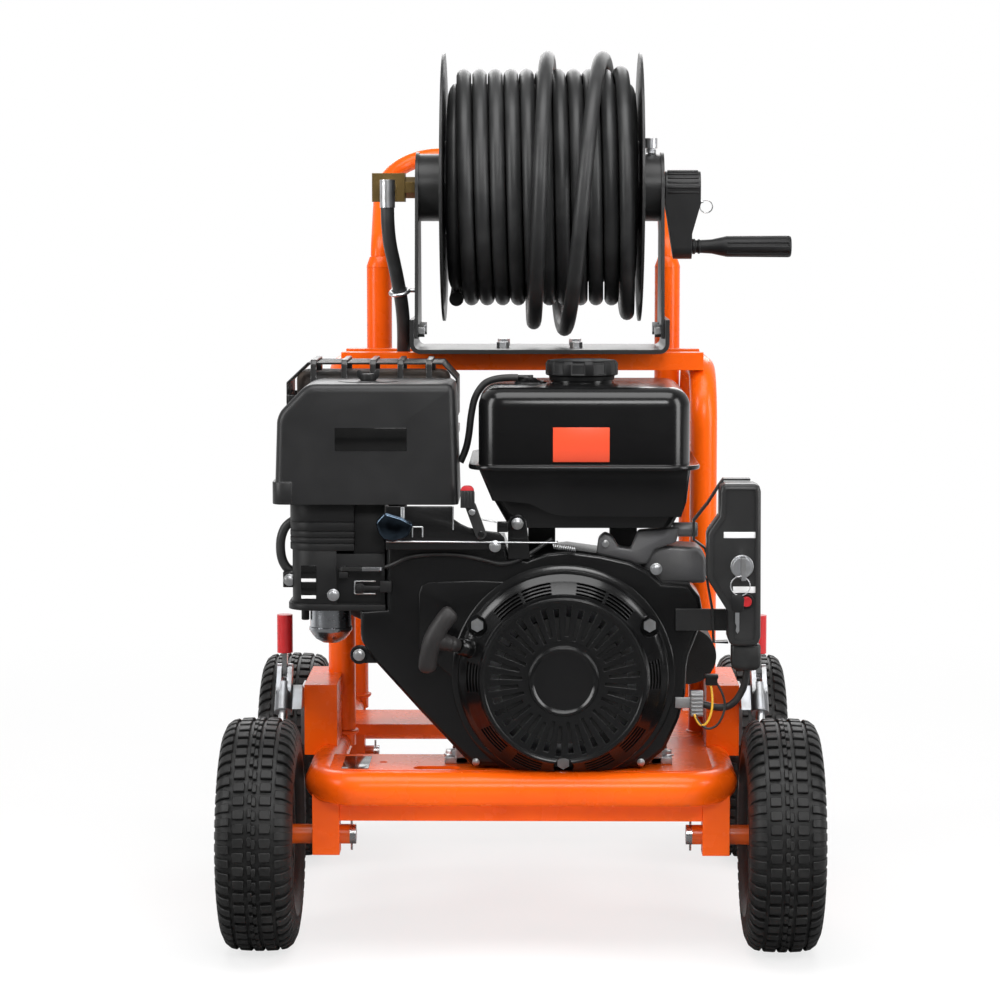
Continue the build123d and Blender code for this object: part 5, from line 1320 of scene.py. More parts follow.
@dataclass
class Welds:
    """Weld beads at the tube joints, the handle's collars on its sleeves, and the rails' end plugs."""

    hoop_x: float = 0.215
    hoop_front: float = -0.02
    hoop_rear: float = 0.254
    rail_top: float = 0.2035
    tube_radius: float = 0.016
    sleeve_x: float = 0.183
    sleeve_top: float = 0.753
    handle_radius: float = 0.011
    rail_x: float = 0.223
    rail_z: float = 0.187
    rail_end: float = 0.28
    plug_radius: float = 0.0184
    bead_radius: float = 0.0168
    bead_wire: float = 0.0026
    bead_rough: float = 0.0007

    def bead(self, name: str, centre: Point) -> None:
        """Lays one uneven bead round the foot of a tube.

        Args:
            name: The bead's name.
            centre: The middle of the joint.
        """
        ring = Bench.ring(name, centre, (0, 0, 1), self.bead_radius, self.bead_wire, 64)
        Bench.enter(ring)
        bpy.ops.transform.vertex_random(offset=self.bead_rough, seed=7)
        Bench.clear()
        place(Bench.soften(ring, 0, angle=70), WELD)

    def collar(self, side: Side) -> None:
        """Turns the tapered step from sleeve to handle tube.

        Args:
            side: The side of the cart.
        """
        x = side.value * self.sleeve_x
        section = [(x + r, self.hoop_rear, self.sleeve_top + z) for r, z in (
            (self.handle_radius, 0.0135), (self.handle_radius + 0.0012, 0.0125), (self.tube_radius, 0.0012),
            (self.tube_radius + 0.0002, -0.001), (self.handle_radius, -0.001),
        )]
        ring = Bench.turned(f"handle_collar_{side.name.lower()}", section, (x, self.hoop_rear, 0), (0, 0, 1),
                            40, closed=True)
        place(Bench.soften(ring, 0, angle=28), ORANGE)

    def plug(self, side: Side) -> None:
        """Makes the black cap that closes a side rail at the back.

        Args:
            side: The side of the cart.
        """
        x = side.value * self.rail_x
        cap = Bench.rod(f"rail_plug_{side.name.lower()}", (x, self.rail_end, self.rail_z),
                        (x, self.rail_end + 0.003, self.rail_z), self.plug_radius, 48)
        place(Bench.soften(cap, 0.001), DULL_BLACK)

    def build(self) -> None:
        """Lays every bead, collar and plug."""
        for side in Side:
            self.plug(side)
            name = side.name.lower()
            x = side.value * self.hoop_x
            self.bead(f"weld_hoop_front_{name}", (x, self.hoop_front, self.rail_top))
            self.bead(f"weld_hoop_rear_{name}", (x, self.hoop_rear, self.rail_top))
            self.collar(side)


@dataclass
class ReelFittings:
    """Crank grip, hub ribs, cotter ring and the spring of the lock pin."""

    axis_y: float = 0.032
    axis_z: float = 0.851
    grip_z: float = 0.781
    grip_section: Flats = (
        (0.203, 0.0), (0.203, 0.0092), (0.206, 0.0092), (0.2068, 0.0076), (0.209, 0.0076), (0.2098, 0.0088),
        (0.2115, 0.0088), (0.2125, 0.0078), (0.226, 0.0086), (0.238, 0.0112), (0.244, 0.0125),
        (0.318, 0.013), (0.3203, 0.012), (0.321, 0.01), (0.321, 0.0),
    )
    hub: Flat = (0.1725, 0.2095)
    pin_x: float = 0.15325
    coils: tuple[float, ...] = (0.8925, 0.8942, 0.8959)
    cotter: Box = ((0.2105, 0.016, 0.834), (0.215, 0.016, 0.834))
    cotter_eye: Point = (0.2185, 0.016, 0.8285)

    def grip(self) -> None:
        """The fluted crank grip with its necked collar."""
        section = [(x, self.axis_y, self.grip_z + r) for x, r in self.grip_section]
        grip = Bench.turned("fluted_crank_grip", section, (0, self.axis_y, self.grip_z), (1, 0, 0), 64)

        def fluted(centre: Vector, normal: Vector) -> bool:
            """Whether a face lies in one of the eight flutes."""
            turn = math.atan2(centre.y - self.axis_y, centre.z - self.grip_z)
            return 0.25 < centre.x < 0.31 and (turn / math.tau * 8) % 1 < 0.48 and abs(normal.x) < 0.3

        Bench.groove(grip, fluted, 0.0009, 0.0014)
        place(Bench.soften(grip, 0.0004), DULL_BLACK, "crank_grip", ("crank_grip",))

    def hub_ribs(self) -> None:
        """Raised ribs round the crank's hub."""
        rib = Bench.block("crank_hub_ribs", (self.hub[0], self.axis_y - 0.0014, self.axis_z + 0.0188),
                          (self.hub[1], self.axis_y + 0.0014, self.axis_z + 0.0208))
        Bench.soften(rib, 0.0007)
        place(Bench.circled(rib, (0, self.axis_y, self.axis_z), (1, 0, 0), 20), SATIN_BLACK, "reel")

    def cotter_ring(self) -> None:
        """The ring that pulls the crank's cotter, with the cotter's end."""
        pin = Bench.rod("cotter", *self.cotter, 0.0014, 16)
        ring = Bench.ring("ring", self.cotter_eye, (0.1, 1, 0.15), 0.0075, 0.0007)
        both = Bench.join("cotter_ring", (Bench.soften(pin, 0.0003), Bench.soften(ring, 0, angle=70)))
        place(both, ZINC, "reel")

    def lock_spring(self) -> None:
        """The spring under the lock pin's knob."""
        coils = [
            Bench.ring("coil", (self.pin_x, self.axis_y, z), (0.12, 0, 1), 0.0055, 0.00075, 32)
            for z in self.coils
        ]
        spring = Bench.soften(Bench.join("lock_pin_spring", coils), 0, angle=70)
        place(spring, ZINC)
        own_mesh(spring)

    def build(self) -> None:
        """Makes every fitting of the reel."""
        self.grip()
        self.hub_ribs()
        self.cotter_ring()
        self.lock_spring()


@dataclass
class MufflerGuard:
    """The pressed guard over the muffler: flat bars along it, tied by cross ribs whose edges carry a painted
    highlight.
    """

    left: float = -0.269
    right: float = -0.073
    front: float = -0.15
    rear: float = -0.05
    bottom: float = 0.556
    top: float = 0.654
    thick: float = 0.0026
    bar_places: tuple[float, ...] = (-0.1478, -0.1265, -0.1055, -0.0845, -0.063)
    rib_places: tuple[float, ...] = (-0.2377, -0.2027, -0.17, -0.1384, -0.1057)

    def bar(self, y: float) -> Piece:
        """Bends one flat bar along the guard, sloping down at both ends.

        Args:
            y: The bar's front.

        Returns:
            The bar.
        """
        left, right, top, thick = self.left, self.right, self.top - 0.003, self.thick
        outer = [
            (left, 0.588), (left, top - 0.023), (left + 0.0245, top), (right - 0.017, top),
            (right, top - 0.0185), (right, 0.588),
        ]
        inner = [
            (right - thick, 0.588), (right - thick, top - 0.0195), (right - 0.018, top - thick),
            (left + 0.0255, top - thick), (left + thick, top - 0.024), (left + thick, 0.588),
        ]
        return Bench.sheet("bar", outer + inner, y, 0.0098)

    def rib(self, x: float) -> Piece:
        """Bends one rib over the guard from front to back.

        Args:
            x: The rib's middle.

        Returns:
            The rib.
        """
        front, rear, low, top, thick = self.front, self.rear, self.bottom, self.top, self.thick
        outer = [
            (front, low), (front, top - 0.005), (front + 0.0045, top), (rear - 0.0045, top),
            (rear, top - 0.005), (rear, low),
        ]
        inner = [
            (rear - thick, low), (rear - thick, top - 0.006), (rear - 0.0055, top - thick),
            (front + 0.0055, top - thick), (front + thick, top - 0.006), (front + thick, low),
        ]
        return Bench.plate("rib", [(x - 0.0034, y, z) for y, z in outer + inner], (0.0068, 0, 0))

    def build(self) -> None:
        """Makes the bars, the rails, the feet on the muffler and the ribs."""
        bars = [self.bar(y) for y in self.bar_places]
        for z in (0.566, 0.604):
            for y in (self.front + 0.0008, self.rear - 0.0032):
                bars.append(Bench.block("rail", (self.left, y, z), (self.right, y + 0.0024, z + 0.0095)))
            for x in (self.left, self.right - 0.0024):
                low = (x, self.front + 0.001, z)
                bars.append(Bench.block("rail", low, (x + 0.0024, self.rear - 0.001, z + 0.0095)))
        for x in (self.rib_places[0], self.rib_places[-1]):
            bars.append(Bench.block("foot", (x - 0.006, -0.106, 0.6395), (x + 0.006, -0.094, 0.65)))
        whole = Bench.soften(Bench.join("muffler_guard_bars", bars), 0.0008)
        place(whole, GUARD_BAR, nodes=("muffler_guard",))
        ribs = [self.rib(x) for x in self.rib_places]
        place(Bench.soften(Bench.join("muffler_guard_ribs", ribs), 0.0009), GUARD_RIB)


@dataclass
class FuelTank:
    """The pressed fuel tank: two halves on a seam flange, with neck, grommet and vent elbow."""

    left: float = -0.047
    right: float = 0.186
    front: float = -0.295
    rear: float = -0.06
    seam: float = 0.5425
    top: float = 0.63
    lip: float = 0.011
    neck: Flat = (0.068, -0.18)
    vent: Flat = (0.01, -0.192)
    skirt: Flats = (
        (-0.047, 0.5425), (0.186, 0.5425), (0.1818, 0.506), (0.1756, 0.4885), (0.052, 0.4885),
        (0.033, 0.4915), (0.009, 0.503), (-0.018, 0.5058), (-0.0315, 0.506),
    )
    pan: Flats = (
        (-0.036, 0.515), (0.18, 0.515), (0.1735, 0.488), (0.166, 0.475), (-0.013, 0.475),
    )

    def upper(self) -> Piece:
        """Makes the upper half with its wide soft edges.

        Returns:
            The half.
        """
        half = Bench.block("upper", (self.left, self.front, self.seam), (self.right, self.rear, self.top))
        Bench.round_edges(half, lambda a, b: abs(a.z - b.z) > 0.05, 0.028, 8)
        Bench.round_edges(half, lambda a, b: min(a.z, b.z) > self.top - 0.001, 0.021, 8)
        return Bench.soften(half, 0, angle=30)

    def lower(self) -> Piece:
        """Makes the lower half: a leaning left side, and a front that ends in a stepped crease.

        Returns:
            The half.
        """
        skirt = Bench.sheet("skirt", self.skirt, self.front, self.rear - self.front)
        Bench.round_edges(skirt, lambda a, b: abs(a.y - b.y) < 0.001 and abs(a.z - b.z) > 0.03, 0.022, 6)
        pan = Bench.sheet("pan", self.pan, self.front + 0.013, self.rear - self.front - 0.026)
        Bench.round_edges(pan, lambda a, b: abs(a.y - b.y) < 0.001 and abs(a.z - b.z) > 0.01, 0.014, 5)
        return Bench.soften(Bench.join("lower", (skirt, pan)), 0.0045, 4, 28)

    def flange(self) -> Piece:
        """Makes the crimped flange between the halves.

        Returns:
            The flange.
        """
        lip = self.lip
        ring = Bench.block("flange", (self.left - lip, self.front - lip, self.seam - 0.0026),
                           (self.right + lip, self.rear + lip, self.seam + 0.0026))
        Bench.round_edges(ring, lambda a, b: abs(a.z - b.z) > 0.004, 0.036, 8)
        return Bench.soften(ring, 0.0018, 3)

    def fittings(self) -> Piece:
        """Makes the filler neck, and the grommet with the vent elbow.

        Returns:
            The fittings, as one piece.
        """
        x, y = self.neck
        neck = Bench.rod("neck", (x, y, self.top - 0.004), (x, y, self.top + 0.009), 0.035, 48)
        Bench.soften(neck, 0.001)
        x, y = self.vent
        section = [(x + r, y, self.top + z) for r, z in (
            (0.0185, -0.002), (0.0182, 0.0012), (0.0145, 0.0028), (0.0085, 0.0036), (0.0062, 0.006),
            (0.0, 0.006),
        )]
        grommet = Bench.soften(Bench.turned("grommet", section, (x, y, 0), (0, 0, 1), 40), 0, angle=40)
        elbow = Bench.rod("elbow", (x, y, self.top + 0.004), (x, y, self.top + 0.009), 0.0032, 20)
        level = self.top + 0.006
        nipple = Bench.rod("nipple", (x + 0.0032, y, level), (x - 0.014, y, level), 0.0031, 20)
        Bench.soften(elbow, 0.0008)
        Bench.soften(nipple, 0.0006)
        return Bench.join("fittings", (neck, grommet, elbow, nipple))

    def build(self) -> None:
        """Puts the tank together."""
        tank = Bench.join("pressed_fuel_tank", (self.upper(), self.lower(), self.flange(), self.fittings()))
        place(tank, GLOSS_BLACK, nodes=("fuel_tank",))


@dataclass
class FuelCap:
    """The fuel cap with its scalloped skirt."""

    centre: Flat = (0.068, -0.18)
    section: Flats = (
        (0.0, 0.6397), (0.0353, 0.6397), (0.0356, 0.6332), (0.0367, 0.6332), (0.0371, 0.6378),
        (0.0405, 0.639), (0.041, 0.64), (0.041, 0.6518), (0.0385, 0.6553), (0.033, 0.6559),
        (0.03, 0.6551), (0.0, 0.6557),
    )

    def build(self) -> None:
        """Turns the cap and presses in the finger scallops."""
        x, y = self.centre
        cap = Bench.turned("scalloped_fuel_cap", [(x + r, y, z) for r, z in self.section], (x, y, 0),
                           (0, 0, 1), 80)

        def scallop(centre: Vector, normal: Vector) -> bool:
            """Whether a face lies in one of the ten scallops."""
            turn = math.atan2(centre.y - y, centre.x - x)
            return 0.6405 < centre.z < 0.6545 and (turn / math.tau * 10) % 1 < 0.6 and normal.z > -0.2

        Bench.groove(cap, scallop, 0.0011, 0.0018)
        place(Bench.soften(cap, 0.0004), DULL_BLACK, "cap", ("fuel_cap",))


@dataclass
class RecoilCover:
    """The recoil starter's cover: slotted face, beaded rim, louvred band and bolt pockets."""

    axis: Flat = (0.047, 0.31)
    face: float = -0.32
    floor: float = -0.279
    foot: float = 0.207
    steps: int = 180
    pockets: Flats = ((0.1421, 0.3672), (-0.0481, 0.3672), (0.047, 0.2135))
    louvre_angles: tuple[float, ...] = (
        3.75, 53.75, 73.75, 106.25, 126.25, 178.75, 221.25, 246.25, 293.75, 318.75,
    )
    louvre_half: float = 8.9
    slot_pitch: float = 10.0
    slot_share: Flat = (0.35, 0.75)
    boss: Box = ((-0.045, -0.2878, 0.338), (-0.0674, -0.3024, 0.3464))
    boss_bead: Point = (-0.0668, -0.302, 0.34615)
    slot_radii: tuple[float, ...] = (0.0455, 0.05, 0.08, 0.0835)
    louvre_radii: Flats = ((0.0953, 0.097), (0.0987, 0.1004), (0.1021, 0.1038), (0.1055, 0.1072))
    rim: Flats = (
        (0.086, 0.0046), (0.0872, 0.0448), (0.1238, 0.0448), (0.124, 0.0412), (0.1222, 0.04),
        (0.1172, 0.0392), (0.116, 0.03), (0.1148, 0.0282), (0.111, 0.0262),
    )
    bead: Flats = (
        (0.0945, 0.0085), (0.093, 0.004), (0.0918, 0.0012), (0.0896, 0.0002), (0.0876, 0.001),
        (0.0868, 0.0016),
    )
    hub: Flats = (
        (0.044, 0.0016), (0.0388, 0.001), (0.0376, -0.0014), (0.0352, -0.002), (0.0334, -0.0004),
        (0.0322, 0.0004), (0.0, 0.0004),
    )

    def section(self) -> list[Point]:
        """Draws half the cover's section, with a point at the edge of every slot and louvre.

        Returns:
            The section's points.
        """
        back = [(r, 0.0046) for r in (0.0, *self.slot_radii)]
        lanes = sorted((r for pair in self.louvre_radii for r in pair), reverse=True)
        band = [(r, 0.0085 + (r - 0.0945) * 1.07) for r in lanes]
        front = [(r, 0.0016) for r in reversed(self.slot_radii)]
        flat = [*back, *self.rim, *band, *self.bead, *front, *self.hub]
        return [(self.axis[0] + r, self.face + y, self.axis[1]) for r, y in flat]

    def polar(self, spot: Vector) -> Flat:
        """The radius of a point from the cover's axis, and its angle in degrees."""
        across, rise = spot.x - self.axis[0], spot.z - self.axis[1]
        return math.hypot(across, rise), math.degrees(math.atan2(rise, across)) % 360

    def in_slot(self, spot: Vector) -> bool:
        """Finds the slots, which are long and short in turn.

        Args:
            spot: The face's centre.

        Returns:
            True inside a slot.
        """
        radius, turn = self.polar(spot)
        low, high = self.slot_radii[0::2] if int(turn // self.slot_pitch) % 2 else self.slot_radii[1::2]
        return low < radius < high and self.slot_share[0] < turn / self.slot_pitch % 1 < self.slot_share[1]

    def in_louvre(self, spot: Vector) -> bool:
        """Finds the louvres of the band.

        Args:
            spot: The face's centre.

        Returns:
            True inside a louvre.
        """
        radius, turn = self.polar(spot)
        near = min(abs((turn - angle + 180) % 360 - 180) for angle in self.louvre_angles)
        return near < self.louvre_half and any(low < radius < high for low, high in self.louvre_radii)

    def build(self) -> None:
        """Turns the cover, opens it and adds the rope's boss."""
        x, z = self.axis
        middle = self.face + 0.003
        cover = Bench.turned("cover", self.section(), (x, 0, z), (0, 1, 0), self.steps)
        Bench.press(cover, lambda spot, normal: spot.y > middle and normal.y > 0.9 and self.in_slot(spot))
        Bench.press(cover, lambda spot, normal: spot.y < middle and self.in_slot(spot), (0, 0.003, 0), True)
        Bench.press(cover, lambda spot, normal: normal.y < -0.2 and self.in_louvre(spot), (0, 0.005, 0))
        tools = [
            Bench.rod("pocket", (across, self.face - 0.004, rise), (across, self.floor, rise), 0.0112, 32)
            for across, rise in self.pockets
        ]
        Bench.cut(cover, Bench.join("pockets", tools))
        Bench.trim(cover, (x, 0, self.foot), (0, 0, 1))
        boss = Bench.rod("boss", *self.boss, 0.01, 32)
        bead = Bench.ring("bead", self.boss_bead, (-0.8, -0.52, 0.3), 0.0078, 0.002, 32)
        whole = Bench.join("slotted_recoil_cover", (cover, Bench.soften(boss, 0.0015, 3), bead))
        place(Bench.soften(whole, 0, angle=26), GLOSS_BLACK, nodes=("recoil_cover",))


@dataclass
class StarterGrip:
    """The bowed pull grip of the recoil starter, and its rope."""

    rope_end: Point = (-0.0674, -0.3024, 0.3464)
    middle: Point = (-0.0954, -0.3206, 0.3569)
    pull: Point = (-0.8, -0.52, 0.3)
    tilt: float = 62.0
    bow: float = 56.0
    bar: Flats = (
        (-0.0385, 0.0), (-0.0383, 0.0052), (-0.0365, 0.0084), (-0.033, 0.01), (-0.025, 0.0102),
        (-0.017, 0.01), (-0.009, 0.0106), (0.0, 0.011), (0.009, 0.0106), (0.017, 0.01),
        (0.025, 0.0102), (0.033, 0.01), (0.0365, 0.0084), (0.0383, 0.0052), (0.0385, 0.0),
    )
    stem: Flats = (
        (0.0, 0.0), (0.0, 0.0108), (0.011, 0.0104), (0.0165, 0.0086), (0.0175, 0.009), (0.0195, 0.009),
        (0.0205, 0.0084), (0.0225, 0.0084), (0.0235, 0.0088), (0.0255, 0.0086), (0.0265, 0.008),
        (0.0325, 0.0072), (0.0338, 0.0058), (0.0338, 0.0),
    )

    def stance(self) -> Matrix:
        """Finds the grip's own axes: along the bar, back to the engine, and across.

        Returns:
            The matrix of the grip's place.
        """
        back = -Vector(self.pull).normalized()
        along = Vector((math.cos(math.radians(self.tilt)), 0, math.sin(math.radians(self.tilt))))
        along = (along - back * along.dot(back)).normalized()
        axes = Matrix((along, back, along.cross(back))).transposed().to_4x4()
        return Matrix.Translation(self.middle) @ axes

    def grip(self) -> None:
        """Turns the bar and bows it, and turns the stem."""
        bar = Bench.turned("bar", [(x, r, 0) for x, r in self.bar], (0, 0, 0), (1, 0, 0), 40)
        bend = math.radians(self.bow)
        Bench.modify(bar, "SIMPLE_DEFORM", deform_method="BEND", deform_axis="Z", angle=bend)
        stem = Bench.turned("stem", [(r, y, 0) for y, r in self.stem], (0, 0, 0), (0, 1, 0), 40)
        grip = Bench.join("bowed_starter_grip", (bar, stem))
        grip.data.transform(self.stance())
        place(Bench.soften(grip, 0, angle=40), GRIP_RUBBER, "starter_handle", ("starter_grip",))

    def rope(self) -> None:
        """The rope, drawn out between cover and grip when the grip is pulled."""
        heading = Vector(self.pull).normalized()
        start = Vector(self.rope_end) - heading * 0.0075
        end = Vector(self.rope_end) + heading * 0.003
        rope = Bench.rod("starter_cord", start, end, 0.0024, 20)
        Bench.enter(rope)
        bpy.ops.mesh.subdivide(number_cuts=3)
        Bench.mend(rope)
        place(Bench.soften(rope, 0, angle=50), ROPE, None, ("starter_rope",))
        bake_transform(rope)

    def build(self) -> None:
        """Makes grip and rope."""
        self.grip()
        self.rope()


@dataclass
class FanShroud:
    """The pressed fan shroud: soft front edges, an open back, a lug, and the control plate on top."""

    front: float = -0.275
    rear: float = -0.189
    axis: Flat = (0.047, 0.31)
    mouth: float = 0.095
    plate_face: float = -0.293
    wall: float = 0.0026
    outline: Flats = (
        (-0.054, 0.207), (-0.1123, 0.2694), (-0.166, 0.3291), (-0.177, 0.348), (-0.178, 0.356),
        (-0.178, 0.382), (-0.149, 0.3835), (-0.149, 0.461), (-0.019, 0.46), (-0.013, 0.444),
        (0.006, 0.44), (0.027, 0.4475), (0.0517, 0.4502), (0.0893, 0.445), (0.1215, 0.4375),
        (0.1429, 0.4265), (0.1564, 0.414), (0.1859, 0.4123), (0.1981, 0.3975), (0.2022, 0.3759),
        (0.194, 0.353), (0.1862, 0.333), (0.1837, 0.32), (0.1826, 0.289), (0.176, 0.2618),
        (0.1601, 0.2263), (0.138, 0.207),
    )
    plate: Flats = (
        (-0.149, 0.452), (-0.149, 0.5), (-0.0754, 0.5), (-0.0745, 0.486), (-0.066, 0.4805),
        (-0.058, 0.4768), (-0.048, 0.4745), (-0.037, 0.4726), (-0.024, 0.4712), (-0.018, 0.4648),
        (-0.017, 0.452),
    )
    blued: Flats = (
        (-0.1492, 0.4941), (-0.1598, 0.4828), (-0.156, 0.47), (-0.15, 0.4629), (-0.1409, 0.4608),
        (-0.129, 0.464), (-0.1232, 0.4686), (-0.1175, 0.4807), (-0.13, 0.488),
    )
    clip: Flats = ((-0.1193, 0.466), (-0.1193, 0.4772), (-0.1081, 0.4772), (-0.1081, 0.466))

    def shell(self) -> Piece:
        """Presses the shroud, with its mouth open to the recoil starter.

        Returns:
            The shroud.
        """
        depth = self.rear - self.front
        shell = Bench.sheet("shell", self.outline, self.front, depth)
        Bench.round_edges(shell, lambda a, b: max(a.y, b.y) < self.front + 0.001, 0.006, 5)
        Bench.sink(shell, lambda centre, normal: normal.y > 0.95, self.wall, (0, self.wall - depth, 0))
        x, z = self.axis
        ends = [(x, self.front + y, z) for y in (-0.01, 0.01)]
        Bench.cut(shell, Bench.rod("mouth", *ends, self.mouth, 96))
        return Bench.soften(shell, 0, angle=30)

    def control_plate(self) -> Piece:
        """Makes the plate that carries the throttle, with its shelf, pivot and lug for the shroud.

        Returns:
            The plate.
        """
        face = self.plate_face
        plate = Bench.sheet("plate", self.plate, face, 0.003)
        shelf = Bench.block("shelf", (-0.149, face + 0.001, 0.452), (-0.034, self.front + 0.001, 0.455))
        post = Bench.rod("post", (-0.044, -0.3005, 0.47), (-0.044, face + 0.001, 0.47), 0.0038, 24)
        lug = Bench.rod("lug", (-0.1795, -0.27, 0.3318), (-0.1795, -0.263, 0.3318), 0.0105, 32)
        arm = Bench.block("arm", (-0.179, -0.27, 0.3225), (-0.155, -0.263, 0.341))
        stop = Bench.block("stop", (-0.0263, -0.2945, 0.4715), (-0.0143, -0.288, 0.4831))
        return Bench.soft_join("control_plate", (plate, shelf, post, lug, arm, stop), 0.0009)

    def bright_parts(self) -> None:
        """Bolts of the shroud, the clip and the upright of the control plate, and the blued plate."""
        face = self.plate_face
        spots = ((-0.18, -0.27, 0.3318), (0.1494, self.front, 0.429), (-0.0285, face, 0.456))
        bolts = [Bench.bolt(spot, 0.0066) for spot in spots]
        feet = [Bench.bolt((x, self.front, 0.2125), 0.0042) for x in (-0.05, 0.1335)]
        place(Bench.join("shroud_bolts", [*bolts, *feet]), ZINC)
        corners = [(x, face - 0.0006, z) for x, z in self.clip]
        wires = [Bench.rod("clip", here, there, 0.0008, 12) for here, there in zip(corners, corners[1:])]
        peg = Bench.rod("peg", (-0.13, face - 0.0012, 0.4862), (-0.13, face - 0.0012, 0.499), 0.0024, 16)
        upright = Bench.block("upright", (-0.0752, face - 0.0016, 0.474), (-0.0738, face + 0.001, 0.5))
        wire = Bench.rod("wire", (-0.049, -0.294, 0.4868), (-0.026, -0.294, 0.4826), 0.0008, 12)
        place(Bench.soften(Bench.join("control_plate_clip", [*wires, peg, upright, wire]), 0), ZINC)
        plate = Bench.sheet("blued_linkage_plate", self.blued, face + 0.0005, -0.007)
        place(Bench.soften(plate, 0.005, 5), BLUED_PLATE)

    def build(self) -> None:
        """Puts the shroud together."""
        whole = Bench.join("pressed_fan_shroud", (self.shell(), self.control_plate()))
        place(whole, GLOSS_BLACK, nodes=("fan_shroud",))
        self.bright_parts()


@dataclass
class Throttle:
    """The throttle lever with its ribbed knob and red top."""

    pivot: Point = (-0.044, -0.298, 0.47)
    lean: float = 20.0
    reach: float = 0.032
    half: float = 0.006
    rib_count: int = 5
    rib_pitch: float = 0.0034

    def build(self) -> None:
        """Makes the lever, its knob and the screw of its cable."""
        y = self.pivot[1]
        turns = [math.pi * n / 10 for n in range(11)]
        ends = [(self.half * math.cos(t), self.reach + self.half * math.sin(t)) for t in turns]
        ends += [(-self.half * math.cos(t), -self.half * math.sin(t)) for t in turns]
        arm = Bench.sheet("arm", ends, -0.002, 0.004)
        arm.data.transform(Matrix.Translation(self.pivot) @ Matrix.Rotation(-math.radians(self.lean), 4, "Y"))
        knob = Bench.block("knob", (-0.0662, y - 0.0086, 0.4994), (-0.0514, y + 0.0022, 0.5234))
        Bench.round_edges(knob, lambda a, b: abs(a.y - b.y) > 0.01 and min(a.z, b.z) > 0.52, 0.0058, 6)
        ribs = []
        for n in range(self.rib_count):
            left, right = -0.0658 + self.rib_pitch * n, -0.0642 + self.rib_pitch * n
            ribs.append(Bench.block("rib", (left, y - 0.0094, 0.5005), (right, y - 0.008, 0.5175)))
        lever = Bench.soft_join("ribbed_throttle_lever", (arm, knob, *ribs), 0.0006)
        place(lever, THROTTLE, "throttle", ("throttle_lever",))
        ends = [(-0.0535, y - back, 0.4945) for back in (0.002, 0.0052)]
        screw = Bench.rod("throttle_cable_screw", *ends, 0.0036, 20)
        place(Bench.soften(screw, 0.0006), ZINC, "throttle")


